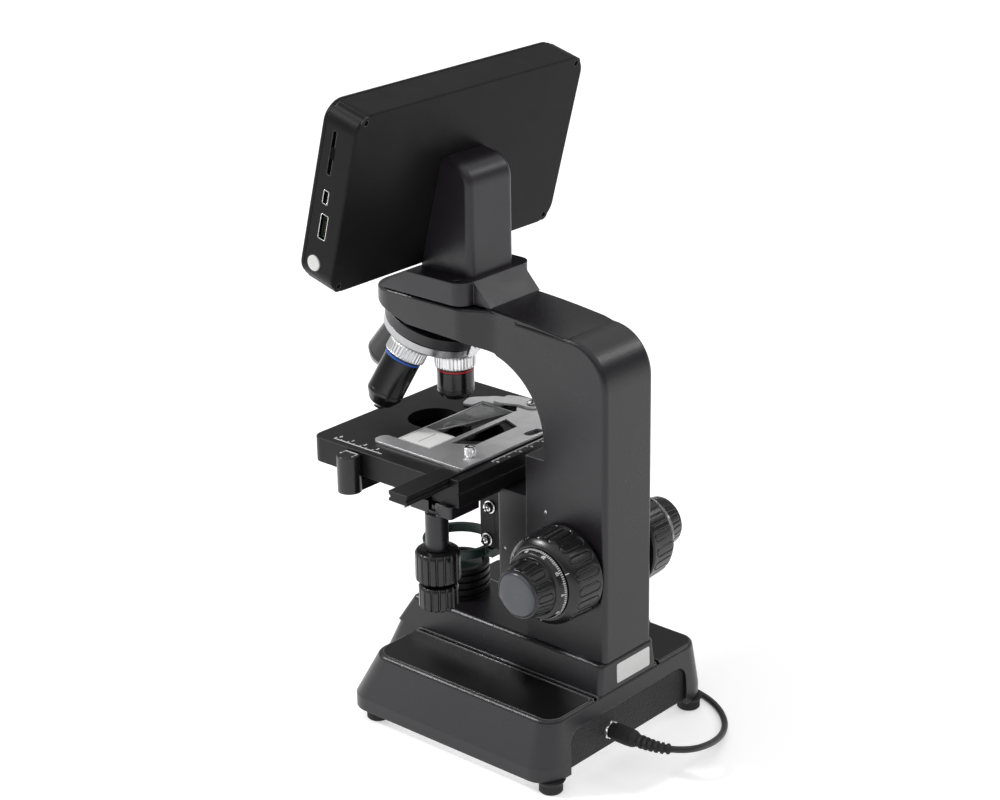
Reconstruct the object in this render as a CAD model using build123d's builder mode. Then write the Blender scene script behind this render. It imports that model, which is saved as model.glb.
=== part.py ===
from build123d import *

import os
from math import atan2, cos, degrees, pi, radians, sin, tan

os.makedirs("parts", exist_ok=True)

# ---------------------------------------------------------------------------
# Frame: millimetres, +Z up, the feet stand on z = 0, the user sits at -Y and
# the arm is at +Y. Profiles are drawn about the optical axis, a vertical line
# at x = 0, y = AXIS_Y. "Ahead" below means a distance from it towards +Y.
# ---------------------------------------------------------------------------
AXIS_Y = -34.1

# Base
FOOT_HEIGHT = 8.0
WING_TOP = 45.5
PLINTH_TOP = 64.5
BASE_HALF_WIDTH = 75.8
WING_HALF_WIDTH = 69.5
PLINTH_HALF_WIDTH = 24.0
BASE_FRONT = -26.0
BASE_BACK = 133.6
WING_FRONT = -10.0
WING_BACK = 131.6
SHELL_WALL = 4.0
FOOT_SPOTS = [(-65, -10), (65, -10), (-65, 127), (65, 127)]

# Rear power inlet
PANEL_HALF_WIDTH = 54.5
PANEL_TOP = 34.5
PANEL_FACE = 130.8
JACK_X = 16.5
JACK_Z = 20.3
JACK_RADIUS = 4.0
JACK_BORE = 2.8

# Illuminator
LAMP_RADIUS = 18.2
LAMP_TOP = 85.0

# Arm
ARM_HALF_WIDTH = 21.5
ARM_FRONT = 72.8
ARM_THROAT = 86.5
ARM_BACK = 131.4
BLOCK_TOP = 179.7
ARM_TOP = 261.3
NOSE_HALF_WIDTH = 31.0
NOSE_FRONT = -42.0

# Focus drive
FOCUS_AHEAD = 104.5
FOCUS_Z = 117.7
PINION_TEETH = 12
TOOTH_MODULE = 1.25
PINION_RADIUS = PINION_TEETH * TOOTH_MODULE / 2
SHAFT_BORE_PLAY = 0.05

# Stage
SLIDE_LENGTH = 76.0
SLIDE_WIDTH = 26.0
SLIDE_THICK = 1.1
STAGE_TOP = 173.0
STAGE_LEFT = -62.0
STAGE_RIGHT = 66.5
STAGE_FRONT = -56.0
STAGE_REAR = 36.6
RAIL_REAR = 57.2
SKIRT_BOTTOM = 157.8
BAR_FRONT = 36.9
BAR_REAR = 50.8
KNOB_POST = (61.0, 39.0)
FINGER_PIVOT = (-49.0, 18.0)
HOLDER_LOW = 173.3

# Condenser and filter ring
CONDENSER_RADIUS = 17.0
FILTER_LOW = 94.3
FILTER_HIGH = 99.7
FILTER_INNER = 19.5
FILTER_OUTER = 22.5

# Turret: four seats on a pitch circle about a leaning axis
TURRET_TILT = 20.12
SEAT_TO_APEX = 55.3
SEAT_Z = 220.0
TURRET_RADIUS = 31.0
TURRET_PITCH = SEAT_TO_APEX * sin(radians(TURRET_TILT))

# Head and monitor
COLLAR_LOW = 262.5
COLLAR_HIGH = 276.0
STEM_HALF_WIDTH = 19.0
STEM_BACK = 31.0
LEAN = 15.1
SCREEN_WIDTH = 190.4
SCREEN_HEIGHT = 110.1
BACK_DEPTH = 22.0
BEZEL_DEPTH = 3.5
SCREEN_CORNER = 12.0
SCREEN_AHEAD = 7.35
SCREEN_Z = 330.85

# Power lead
CORD_DIAMETER = 4.0
COIL_CENTRE = (-109.2, 26.0)
COIL_MEAN_DIAMETER = 46.0
COIL_TURNS_WIDE = 4
COIL_TURNS_HIGH = 2


def level(height, x=0.0, ahead=0.0):
    """Horizontal plane at a height, its origin beside the optical axis."""
    return Plane(origin=(x, AXIS_Y + ahead, height))


def beside(x=0.0):
    """Upright plane facing +X; its own axes run along Y and Z."""
    return Plane(origin=(x, AXIS_Y, 0), x_dir=(0, 1, 0), z_dir=(1, 0, 0))


def behind(ahead):
    """Upright plane facing +Y; its own axes run along -X and Z."""
    return Plane(origin=(0, AXIS_Y + ahead, 0), x_dir=(-1, 0, 0), z_dir=(0, 1, 0))


def spot(x, ahead, z=0.0):
    """Point given from the optical axis, in the part's frame."""
    return Vector(x, AXIS_Y + ahead, z)


def save(piece, name):
    """Label a finished piece and write its STEP file."""
    piece.part.label = name
    export_step(piece.part, f"parts/{name}.step")


# ------------------------------------------------------------------ base


def make_base_housing():
    """Cast foot: two wings, a raised plinth with a prow, open below and at the back."""
    shoulder = FOOT_HEIGHT + 8
    depth_low = BASE_BACK - BASE_FRONT
    mid_low = (BASE_BACK + BASE_FRONT) / 2
    depth_top = WING_BACK - WING_FRONT
    mid_top = (WING_BACK + WING_FRONT) / 2
    prow_low = -47.0
    prow_high = -17.0
    with BuildPart() as housing:
        with BuildSketch(level(FOOT_HEIGHT, ahead=mid_low)):
            RectangleRounded(2 * BASE_HALF_WIDTH, depth_low, 15)
        extrude(amount=8)
        with BuildSketch(level(shoulder, ahead=mid_low)):
            RectangleRounded(2 * BASE_HALF_WIDTH, depth_low, 15)
        with BuildSketch(level(WING_TOP, ahead=mid_top)):
            RectangleRounded(2 * WING_HALF_WIDTH, depth_top, 12)
        loft()
        fillet(housing.edges().filter_by_position(Axis.Z, WING_TOP - 0.1, WING_TOP + 0.1), 2.5)
        # prow and plinth
        with BuildSketch(level(FOOT_HEIGHT, ahead=(prow_low + 60) / 2)):
            RectangleRounded(70, 60 - prow_low, 14)
        with BuildSketch(level(WING_TOP, ahead=(60 - 29) / 2)):
            RectangleRounded(54, 60 + 29, 7)
        loft()
        with BuildSketch(level(WING_TOP, ahead=(WING_BACK - 29) / 2)):
            RectangleRounded(54, WING_BACK + 29, 3)
        with BuildSketch(level(PLINTH_TOP, ahead=(WING_BACK - 0.4 + prow_high) / 2)):
            RectangleRounded(2 * PLINTH_HALF_WIDTH, WING_BACK - 0.4 - prow_high, 3)
        loft()
        fillet(housing.edges().filter_by_position(Axis.Z, PLINTH_TOP - 0.1, PLINTH_TOP + 0.1), 3)
        # hollow under the wings and the plinth
        with BuildSketch(level(FOOT_HEIGHT, ahead=mid_low)):
            RectangleRounded(2 * BASE_HALF_WIDTH - 5, depth_low - 5, 12.5)
        with BuildSketch(level(WING_TOP - SHELL_WALL, ahead=mid_top + 1)):
            RectangleRounded(2 * WING_HALF_WIDTH - 9, depth_top - 11, 8)
        loft(mode=Mode.SUBTRACT)
        with BuildSketch(level(WING_TOP - SHELL_WALL, ahead=58)):
            RectangleRounded(36, 130, 4)
        extrude(amount=PLINTH_TOP - WING_TOP, mode=Mode.SUBTRACT)
        # rear arch for the inlet panel
        with BuildSketch(behind(BASE_BACK + 2)):
            with BuildLine():
                FilletPolyline(
                    (-PANEL_HALF_WIDTH, FOOT_HEIGHT - 2),
                    (-PANEL_HALF_WIDTH, PANEL_TOP),
                    (PANEL_HALF_WIDTH, PANEL_TOP),
                    (PANEL_HALF_WIDTH, FOOT_HEIGHT - 2),
                    radius=9,
                )
                Line((PANEL_HALF_WIDTH, FOOT_HEIGHT - 2), (-PANEL_HALF_WIDTH, FOOT_HEIGHT - 2))
            make_face()
        extrude(amount=-9, mode=Mode.SUBTRACT)
        # channel between plinth and wing, and the pocket for each pad
        for side in (-1, 1):
            with BuildSketch(level(WING_TOP, side * 29.2, (WING_BACK + WING_FRONT) / 2)):
                Rectangle(2.6, depth_top + 8)
            extrude(amount=-1.6, mode=Mode.SUBTRACT)
            extrude(pad_outline(side, WING_TOP, 0.15), amount=-1.2, mode=Mode.SUBTRACT)
        # wire hole below the lamp
        with Locations(spot(0, 0, PLINTH_TOP)):
            Hole(4, depth=10)
    save(housing, "base_housing")


PAD_LENGTH = 138.0
PAD_WIDTH = 35.4
PAD_CENTRE_X = 49.6
PAD_CENTRE_AHEAD = 60.6


def pad_outline(side, height, grow=0.0):
    """Outline of a wing pad, with its two large corners on the outer side."""
    inner = side * (PAD_CENTRE_X - PAD_WIDTH / 2 - grow)
    outer = side * (PAD_CENTRE_X + PAD_WIDTH / 2 + grow)
    front = PAD_CENTRE_AHEAD - PAD_LENGTH / 2 - grow
    back = PAD_CENTRE_AHEAD + PAD_LENGTH / 2 + grow
    with BuildSketch(level(height)) as outline:
        with BuildLine():
            FilletPolyline(
                (inner, front),
                (outer, front),
                (outer, back),
                (inner, back),
                radius=[3, 12, 9, 3],
                close=True,
            )
        make_face()
    return outline.sketch


def make_pads():
    """Glossy inlays that lie in the top of each wing."""
    for side, name in ((-1, "pad_left"), (1, "pad_right")):
        with BuildPart() as pad:
            extrude(pad_outline(side, WING_TOP - 1.2), amount=1.6)
            fillet(pad.faces().sort_by(Axis.Z)[-1].edges(), 0.3)
        save(pad, name)


def make_bottom():
    """Steel plate that closes the base, with its screws and the rubber feet."""
    screw_spots = [(-58, 0), (58, 0), (-58, 112), (58, 112)]
    mid = (BASE_BACK + BASE_FRONT) / 2
    with BuildPart() as plate:
        with BuildSketch(level(FOOT_HEIGHT, ahead=mid)):
            RectangleRounded(2 * BASE_HALF_WIDTH - 8, BASE_BACK - BASE_FRONT - 12, 10)
        extrude(amount=2)
        with Locations([spot(x, y, FOOT_HEIGHT) for x, y in screw_spots]):
            Cylinder(1.7, 2, align=(Align.CENTER, Align.CENTER, Align.MIN), mode=Mode.SUBTRACT)
    save(plate, "base_bottom_plate")

    with BuildPart() as screws:
        for x, ahead in screw_spots:
            with Locations(spot(x, ahead, FOOT_HEIGHT - 1.6)):
                Cylinder(3, 1.6, align=(Align.CENTER, Align.CENTER, Align.MIN))
            with Locations(spot(x, ahead, FOOT_HEIGHT)):
                Cylinder(1.6, 8, align=(Align.CENTER, Align.CENTER, Align.MIN))
    save(screws, "bottom_screws")

    with BuildPart() as feet:
        for x, ahead in FOOT_SPOTS:
            with BuildSketch(Plane(origin=spot(x, ahead), x_dir=(1, 0, 0), z_dir=(0, -1, 0))):
                with BuildLine():
                    Polyline((0, 0), (6.2, 0), (7, 0.8), (7, 5), (8.6, FOOT_HEIGHT), (0, FOOT_HEIGHT), (0, 0))
                make_face()
            revolve(axis=Axis(spot(x, ahead), (0, 0, 1)))
    save(feet, "rubber_feet")


def make_rear_panel():
    """Textured plate in the rear arch, bored for the power inlet."""
    with BuildPart() as panel:
        with BuildSketch(behind(PANEL_FACE)):
            with BuildLine():
                FilletPolyline(
                    (-PANEL_HALF_WIDTH + 0.1, FOOT_HEIGHT + 2),
                    (-PANEL_HALF_WIDTH + 0.1, PANEL_TOP - 0.1),
                    (PANEL_HALF_WIDTH - 0.1, PANEL_TOP - 0.1),
                    (PANEL_HALF_WIDTH - 0.1, FOOT_HEIGHT + 2),
                    radius=8.9,
                )
                Line((PANEL_HALF_WIDTH - 0.1, FOOT_HEIGHT + 2), (-PANEL_HALF_WIDTH + 0.1, FOOT_HEIGHT + 2))
            make_face()
            with Locations((-JACK_X, JACK_Z)):
                Circle(JACK_RADIUS + 0.3, mode=Mode.SUBTRACT)
        extrude(amount=-2.5)
    save(panel, "rear_panel")


def make_inlet():
    """Round power inlet with its centre pin, and the hexagon nut outside."""
    nut_thickness = 2.4
    reach = PANEL_FACE + nut_thickness + 1.2
    with BuildPart() as jack:
        with BuildSketch(behind(reach)):
            with Locations((-JACK_X, JACK_Z)):
                Circle(JACK_RADIUS)
                Circle(JACK_BORE, mode=Mode.SUBTRACT)
        extrude(amount=-(reach - PANEL_FACE + 2.5))
        with BuildSketch(behind(PANEL_FACE - 2.5)):
            with Locations((-JACK_X, JACK_Z)):
                RectangleRounded(13, 12, 1.5)
        extrude(amount=-9)
        with BuildSketch(behind(PANEL_FACE - 2.5)):
            with Locations((-JACK_X, JACK_Z)):
                Circle(JACK_BORE)
        extrude(amount=-6, mode=Mode.SUBTRACT)
        with BuildSketch(behind(PANEL_FACE - 8.5)):
            with Locations((-JACK_X, JACK_Z)):
                Circle(0.95)
        extrude(amount=9)
    save(jack, "dc_jack")

    with BuildPart() as nut:
        with BuildSketch(behind(PANEL_FACE)):
            with Locations((-JACK_X, JACK_Z)):
                RegularPolygon(6.2, 6)
                Circle(JACK_RADIUS + 0.3, mode=Mode.SUBTRACT)
        extrude(amount=nut_thickness)
        chamfer(nut.edges().filter_by(GeomType.LINE).filter_by(Axis.Y, reverse=True).group_by(Axis.Y)[-1], 0.4)
    save(nut, "dc_jack_nut")


def make_lamp():
    """Finned lamp house on the plinth, its field lens, LED and the driver board."""
    fins = 4
    pitch = 4.6
    with BuildPart() as house:
        with Locations(spot(0, 0, PLINTH_TOP)):
            Cylinder(LAMP_RADIUS, LAMP_TOP - PLINTH_TOP, align=(Align.CENTER, Align.CENTER, Align.MIN))
            Cylinder(12.5, LAMP_TOP - PLINTH_TOP, align=(Align.CENTER, Align.CENTER, Align.MIN), mode=Mode.SUBTRACT)
        with Locations(spot(0, 0, LAMP_TOP - 4.5)):
            Cylinder(14.8, 4.5, align=(Align.CENTER, Align.CENTER, Align.MIN), mode=Mode.SUBTRACT)
        for row in range(fins):
            with BuildSketch(level(PLINTH_TOP + 2.6 + row * pitch)):
                Circle(LAMP_RADIUS + 1)
                Circle(LAMP_RADIUS - 1.8, mode=Mode.SUBTRACT)
            extrude(amount=1.8, mode=Mode.SUBTRACT)
        fillet(house.faces().sort_by(Axis.Z)[-1].edges().sort_by(SortBy.RADIUS)[-1], 0.8)
    save(house, "illuminator")

    with BuildPart() as lens:
        with Locations(spot(0, 0, LAMP_TOP - 4.5)):
            Cylinder(14.4, 3.6, align=(Align.CENTER, Align.CENTER, Align.MIN))
        fillet(lens.edges().group_by(Axis.Z)[-1], 1.2)
    save(lens, "field_lens")

    with BuildPart() as led:
        with Locations(spot(0, 0, PLINTH_TOP)):
            Cylinder(12, 3, align=(Align.CENTER, Align.CENTER, Align.MIN))
        with Locations(spot(0, 0, PLINTH_TOP + 3)):
            Cylinder(4, 1.2, align=(Align.CENTER, Align.CENTER, Align.MIN))
        with Locations(spot(0, 0, PLINTH_TOP + 4.2)):
            Sphere(2.6, arc_size1=0)
    save(led, "led_module")

    with BuildPart() as board:
        with BuildSketch(level(16, 0, 84)):
            RectangleRounded(64, 42, 2)
        extrude(amount=1.6)
        with Locations(level(FOOT_HEIGHT + 2, 0, 84)):
            with GridLocations(54, 32, 2, 2):
                Cylinder(2.5, 6, align=(Align.CENTER, Align.CENTER, Align.MIN))
        with Locations(level(17.6, -14, 84)):
            Box(16, 14, 10, align=(Align.CENTER, Align.CENTER, Align.MIN))
        with Locations(level(17.6, 12, 90)):
            Cylinder(5, 12, align=(Align.CENTER, Align.CENTER, Align.MIN))
    save(board, "driver_board")


# ------------------------------------------------------------------ arm


def nose_underside(y_from=-60.0):
    """Line of the arm's underside over the turret, from the front to the throat."""
    return [(y_from, 254.5 + (NOSE_FRONT - y_from) * 0.344), (-10, 243.5), (30, 242.1), (50.3, 236.3)]


def make_arm():
    """Column and arm in one casting, with a wide nose over the turret."""
    throat_corner = 225.9
    with BuildPart() as arm:
        with BuildSketch(beside(-ARM_HALF_WIDTH)):
            with BuildLine():
                FilletPolyline(
                    (24, ARM_TOP),
                    (ARM_BACK, 255.8),
                    (ARM_BACK, PLINTH_TOP),
                    radius=27,
                )
                Polyline(
                    (ARM_BACK, PLINTH_TOP),
                    (ARM_FRONT, PLINTH_TOP),
                    (ARM_FRONT, BLOCK_TOP),
                    (ARM_THROAT, BLOCK_TOP),
                )
                FilletPolyline((ARM_THROAT, BLOCK_TOP), (ARM_THROAT, throat_corner), (24, 242.3), radius=48)
                Line((24, 242.3), (24, ARM_TOP))
            make_face()
        extrude(amount=2 * ARM_HALF_WIDTH)
        outer = arm.edges().filter_by_position(Axis.Z, 66, 262).filter_by(
            lambda edge: abs(abs(edge.center().X) - ARM_HALF_WIDTH) < 0.01
            and edge.center().Y > AXIS_Y + 50
            and edge.center().Z > 100
            and (edge.center().Y > AXIS_Y + 110 or edge.center().Z > 250)
        )
        fillet(outer, 3)
        # nose
        with BuildSketch(level(236)):
            with BuildLine():
                FilletPolyline(
                    (NOSE_HALF_WIDTH, NOSE_FRONT),
                    (NOSE_HALF_WIDTH, 31),
                    (ARM_HALF_WIDTH, 49),
                    (ARM_HALF_WIDTH, 66),
                    (-ARM_HALF_WIDTH, 66),
                    (-ARM_HALF_WIDTH, 49),
                    (-NOSE_HALF_WIDTH, 31),
                    (-NOSE_HALF_WIDTH, NOSE_FRONT),
                    radius=[18, 11, 16, 0, 0, 16, 11, 18],
                    close=True,
                )
            make_face()
        extrude(amount=ARM_TOP - 236)
        with BuildSketch(beside(-40)):
            with BuildLine():
                under = nose_underside()
                Polyline(*under, (66, 222), (-60, 222), under[0])
            make_face()
        extrude(amount=80, mode=Mode.SUBTRACT)
        rim = arm.edges().filter_by_position(Axis.Z, ARM_TOP - 0.01, ARM_TOP + 0.01).filter_by(
            lambda edge: edge.center().Y < AXIS_Y + 45
        )
        fillet(rim, 1.5)
        # seat of the head, light path and the guide pocket of the focus carrier
        with Locations(spot(0, 0, ARM_TOP)):
            Hole(22, depth=6)
            Hole(13, depth=24)
        with BuildSketch(level(FOCUS_LOW, 0, (ARM_FRONT + POCKET_BACK) / 2)):
            Rectangle(2 * POCKET_HALF_WIDTH, POCKET_BACK - ARM_FRONT)
        extrude(amount=FOCUS_HIGH - FOCUS_LOW, mode=Mode.SUBTRACT)
        with BuildSketch(beside(0)):
            with Locations((FOCUS_AHEAD, FOCUS_Z)):
                Circle(FINE_TUBE_RADIUS + 2 + SHAFT_BORE_PLAY)
        extrude(amount=40, both=True, mode=Mode.SUBTRACT)
        # tapped holes for guide adjustment
        for height in (160.4,):
            with BuildSketch(beside(ARM_HALF_WIDTH)):
                with Locations((87, 148)):
                    Circle(1.4)
            extrude(amount=-4, mode=Mode.SUBTRACT)
    save(arm, "arm")


FOCUS_LOW = 67.5
FOCUS_HIGH = 158.0
POCKET_HALF_WIDTH = 13.0
POCKET_BACK = 114.0
FINE_TUBE_RADIUS = 4.0


def make_turret_seat():
    """Fixed tilted disc under the nose, with a wedge hub and the turret's pivot."""
    plane = turret_plane(0)
    under = nose_underside(-58)
    with BuildPart() as seat:
        with BuildSketch(turret_plane(TURRET_RIM_HIGH + 0.5)):
            Circle(TURRET_RADIUS + 0.5)
        extrude(amount=7)
        fillet(seat.edges().group_by(Axis(plane.origin, plane.z_dir))[0], 0.8)
        with BuildSketch(turret_plane(TURRET_RIM_HIGH + 7.5)):
            Circle(24)
        extrude(amount=22)
        up = turret_axis()
        rearward = Vector(1, 0, 0).cross(up) * -1
        with BuildSketch(Plane(origin=plane.origin + rearward * DETENT_FLAT, x_dir=(1, 0, 0), z_dir=rearward)):
            Rectangle(12, 60)
        extrude(amount=4, mode=Mode.SUBTRACT)
        with BuildSketch(beside(-40)):
            with BuildLine():
                Polyline(*under, (50.3, 300), (-58, 300), under[0])
            make_face()
        extrude(amount=80, mode=Mode.SUBTRACT)
        with BuildSketch(turret_plane(-4)):
            Circle(5)
        extrude(amount=TURRET_RIM_HIGH + 4.6)
        with BuildSketch(level(215)):
            Circle(8)
        extrude(amount=40, mode=Mode.SUBTRACT)
    save(seat, "nosepiece_seat")


DETENT_FLAT = 31.35
TURRET_RIM_LOW = 4.4
TURRET_RIM_HIGH = 9.6


def turret_axis():
    """Unit vector up along the turret's leaning axis."""
    lean = radians(TURRET_TILT)
    return Vector(0, sin(lean), cos(lean))


def turret_plane(offset):
    """Plane square to the turret's axis, measured up from the seats' pitch circle."""
    up = turret_axis()
    apex = spot(0, 0, SEAT_Z + SEAT_TO_APEX)
    centre = apex - up * (SEAT_TO_APEX * cos(radians(TURRET_TILT)))
    return Plane(origin=centre + up * offset, x_dir=(1, 0, 0), z_dir=up)


def objective_plane(turn, down=0.0):
    """Plane square to an objective's axis, its normal pointing up the axis."""
    up = turret_axis()
    apex = spot(0, 0, SEAT_Z + SEAT_TO_APEX)
    out = Vector(0, 0, -1).rotate(Axis((0, 0, 0), up), turn)
    return Plane(origin=apex + out * (SEAT_TO_APEX + down), x_dir=up.cross(out).normalized(), z_dir=-out)


OBJECTIVE_TURNS = {"red": 0, "dark_blue": 270, "light_blue": 180, "yellow": 90}


def make_turret():
    """Bright rotating dish with a seat square to each objective."""
    with BuildPart() as dish:
        plane = turret_plane(0)
        up = turret_axis()
        side = Plane(origin=plane.origin, x_dir=(1, 0, 0), z_dir=Vector(1, 0, 0).cross(up))
        with BuildSketch(side):
            with BuildLine():
                Polyline(
                    (5.05, -3.6),
                    (9, -3.6),
                    (TURRET_RADIUS - 0.6, TURRET_RIM_LOW - 0.2),
                    (TURRET_RADIUS, TURRET_RIM_LOW + 0.6),
                    (TURRET_RADIUS, TURRET_RIM_HIGH),
                    (5.05, TURRET_RIM_HIGH),
                    (5.05, -3.6),
                )
            make_face()
        revolve(axis=Axis(plane.origin, up))
        with Locations(*[objective_plane(turn) for turn in OBJECTIVE_TURNS.values()]):
            Cylinder(12.6, 3, align=(Align.CENTER, Align.CENTER, Align.MIN))
        with Locations(*[objective_plane(turn, 1) for turn in OBJECTIVE_TURNS.values()]):
            Cylinder(10.3, 18, align=(Align.CENTER, Align.CENTER, Align.MIN), mode=Mode.SUBTRACT)
    save(dish, "turret")


def make_objective(name, length, nose, has_tip):
    """Objective: threaded shank, grip collar, barrel and a tapered front."""
    turn = OBJECTIVE_TURNS[name]
    shoulder = objective_plane(turn)
    out = -shoulder.z_dir
    axis = Axis(shoulder.origin, out)
    side = Plane(origin=shoulder.origin, x_dir=shoulder.x_dir, z_dir=shoulder.x_dir.cross(out))
    barrel = 11.1
    front_hole = 4.5 if has_tip else 3.0
    with BuildPart() as objective:
        with BuildSketch(side):
            with BuildLine():
                Polyline(
                    (6.5, -4.5),
                    (10, -4.5),
                    (10, 0),
                    (11.6, 0),
                    (12.4, 1.4),
                    (12.4, 8.2),
                    (barrel, 8.8),
                    (barrel, length - 9.5 if has_tip else length - 3.5),
                    (nose, length - 3.0 if has_tip else length),
                    (front_hole, length - 3.0 if has_tip else length),
                    (front_hole, length - 14),
                    (6.5, length - 16),
                    (6.5, -4.5),
                )
            make_face()
        revolve(axis=axis)
    save(objective, f"objective_{name}")
    if not has_tip:
        return
    with BuildPart() as tip:
        with BuildSketch(side):
            with BuildLine():
                Polyline(
                    (0, length - 11.5),
                    (4.45, length - 11.5),
                    (4.45, length - 1.6),
                    (3.0, length),
                    (0, length),
                    (0, length - 11.5),
                )
            make_face()
        revolve(axis=axis)
    save(tip, f"objective_{name}_tip")


def make_detent():
    """Leaf spring on the seat's rear flat that gives the turret its click stops."""
    up = turret_axis()
    rearward = Vector(1, 0, 0).cross(up) * -1
    flat = Plane(
        origin=turret_plane(11.3).origin + rearward * DETENT_FLAT,
        x_dir=(1, 0, 0),
        z_dir=rearward,
    )
    with BuildPart() as leaf:
        with BuildSketch(flat):
            RectangleRounded(8, 12.4, 1.2)
        extrude(amount=0.8)
        with BuildSketch(flat.offset(0.8)):
            with Locations((0, -2.4)):
                Circle(2.4)
        extrude(amount=1.6)
        fillet(leaf.edges().group_by(Axis(flat.origin, flat.z_dir))[-1], 0.5)
    save(leaf, "detent_spring")


# ------------------------------------------------------------------ focus drive

COARSE_RADIUS = 27.5
COARSE_INNER = 23.5
COARSE_OUTER = 47.0
FINE_INNER = 47.4
FINE_END = 68.0


def ring_profile(points):
    """Revolve an (x, radius) outline about the focus shaft's line."""
    side = Plane(origin=spot(0, FOCUS_AHEAD, FOCUS_Z), x_dir=(1, 0, 0), z_dir=(0, -1, 0))
    with BuildSketch(side) as outline:
        with BuildLine():
            Polyline(*points, points[0])
        make_face()
    revolve(outline.sketch, axis=Axis(spot(0, FOCUS_AHEAD, FOCUS_Z), (1, 0, 0)))


def make_coarse():
    """Pair of coarse knobs on a hollow shaft that carries the pinion."""
    tube = FINE_TUBE_RADIUS + 2
    for side, name in ((-1, "coarse_knob_left"), (1, "coarse_knob_right")):
        with BuildPart() as knob:
            ring_profile(
                [
                    (side * COARSE_INNER, tube + 0.3),
                    (side * COARSE_INNER, COARSE_RADIUS - 1),
                    (side * (COARSE_INNER + 1), COARSE_RADIUS),
                    (side * (COARSE_OUTER - 6), COARSE_RADIUS - 0.8),
                    (side * (COARSE_OUTER - 2), COARSE_RADIUS - 2.4),
                    (side * COARSE_OUTER, COARSE_RADIUS - 5),
                    (side * COARSE_OUTER, tube + 0.3),
                ]
            )
            with BuildSketch(beside(side * (COARSE_INNER + 11))):
                with Locations((FOCUS_AHEAD, FOCUS_Z)):
                    with PolarLocations(COARSE_RADIUS + 0.4, 18):
                        RectangleRounded(1.9, 3.4, 0.9)
            extrude(amount=7.5, both=True, mode=Mode.SUBTRACT)
        save(knob, name)

    with BuildPart() as shaft:
        ring_profile(
            [
                (-COARSE_OUTER, FINE_TUBE_RADIUS),
                (-COARSE_OUTER, tube),
                (-COARSE_INNER, tube),
                (-COARSE_INNER, tube + 2.5),
                (-COARSE_INNER + 1.2, tube + 2.5),
                (-COARSE_INNER + 1.2, tube),
                (COARSE_INNER - 1.2, tube),
                (COARSE_INNER - 1.2, tube + 2.5),
                (COARSE_INNER, tube + 2.5),
                (COARSE_INNER, tube),
                (COARSE_OUTER, tube),
                (COARSE_OUTER, FINE_TUBE_RADIUS),
            ]
        )
        with BuildSketch(beside(-5)):
            with Locations((FOCUS_AHEAD, FOCUS_Z)):
                Circle(PINION_RADIUS - 1.4)
                Circle(tube - 0.5, mode=Mode.SUBTRACT)
            with Locations((FOCUS_AHEAD, FOCUS_Z)):
                with PolarLocations(PINION_RADIUS - 1.6, PINION_TEETH):
                    gear_tooth()
        extrude(amount=10)
    save(shaft, "coarse_shaft")


def gear_tooth():
    """One pinion tooth, pointing along local X, with room for backlash."""
    root_half = 1.25
    tip_half = 0.55
    Polygon((0, -root_half), (2.6, -tip_half), (2.6, tip_half), (0, root_half), align=None)


def make_fine():
    """Pair of fine knobs with graduated skirts on a thin shaft."""
    shaft_radius = FINE_TUBE_RADIUS - 0.05
    for side, name in ((-1, "fine_knob_left"), (1, "fine_knob_right")):
        with BuildPart() as knob:
            ring_profile(
                [
                    (side * FINE_INNER, shaft_radius + 0.3),
                    (side * FINE_INNER, 21.0),
                    (side * (FINE_INNER + 5), 19.6),
                    (side * (FINE_INNER + 5), 17.2),
                    (side * (FINE_END - 1.6), 14.9),
                    (side * FINE_END, 13.6),
                    (side * FINE_END, 0),
                    (side * (FINE_END - 4), 0),
                    (side * (FINE_END - 4), shaft_radius + 0.3),
                ]
            )
            with BuildSketch(beside(side * (FINE_END - 8.5))):
                with Locations((FOCUS_AHEAD, FOCUS_Z)):
                    with PolarLocations(16.6, 14):
                        RectangleRounded(2.0, 2.6, 0.9)
            extrude(amount=4.5, both=True, mode=Mode.SUBTRACT)
        save(knob, name)

    with BuildPart() as shaft:
        with BuildSketch(beside(0)):
            with Locations((FOCUS_AHEAD, FOCUS_Z)):
                Circle(shaft_radius)
        extrude(amount=FINE_END - 4, both=True)
    save(shaft, "fine_shaft")


# ------------------------------------------------------------------ stage carrier

CARRIER_FRONT = 50.5
CARRIER_BACK = ARM_FRONT - 0.4
CARRIER_LOW = 90.0
CARRIER_TOP = 154.0
BASE_PLATE_LOW = 150.0
BASE_PLATE_TOP = 155.0
RACK_FACE = FOCUS_AHEAD - PINION_RADIUS


def make_carrier():
    """Block that runs on the column, with a tongue that carries the rack."""
    with BuildPart() as carrier:
        with BuildSketch(level(CARRIER_LOW, 0, (CARRIER_FRONT + CARRIER_BACK) / 2)):
            Rectangle(2 * ARM_HALF_WIDTH, CARRIER_BACK - CARRIER_FRONT)
        extrude(amount=CARRIER_TOP - CARRIER_LOW)
        fillet(carrier.edges().filter_by(Axis.Z).group_by(Axis.Y)[0], 2)
        with BuildSketch(level(CARRIER_LOW + 3, 0, (CARRIER_BACK + RACK_FACE - 5) / 2)):
            Rectangle(2 * POCKET_HALF_WIDTH - 0.8, RACK_FACE - 5 - CARRIER_BACK)
        extrude(amount=60)
        for height in (116.0,):
            with BuildSketch(beside(ARM_HALF_WIDTH)):
                with Locations((55.5, height)):
                    Circle(1.2)
            extrude(amount=-3, mode=Mode.SUBTRACT)
    save(carrier, "focus_carrier")

    tooth_pitch = pi * TOOTH_MODULE
    count = 11
    with BuildPart() as rack:
        with BuildSketch(beside(-6)):
            with Locations(((RACK_FACE - 5 + RACK_FACE - 1.6) / 2, FOCUS_Z + 9.8)):
                Rectangle(3.4, 47)
            for index in range(count):
                middle = FOCUS_Z + (index - 2.5) * tooth_pitch
                with Locations((RACK_FACE - 1.7, middle)):
                    rack_tooth()
        extrude(amount=12)
    save(rack, "focus_rack")


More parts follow.
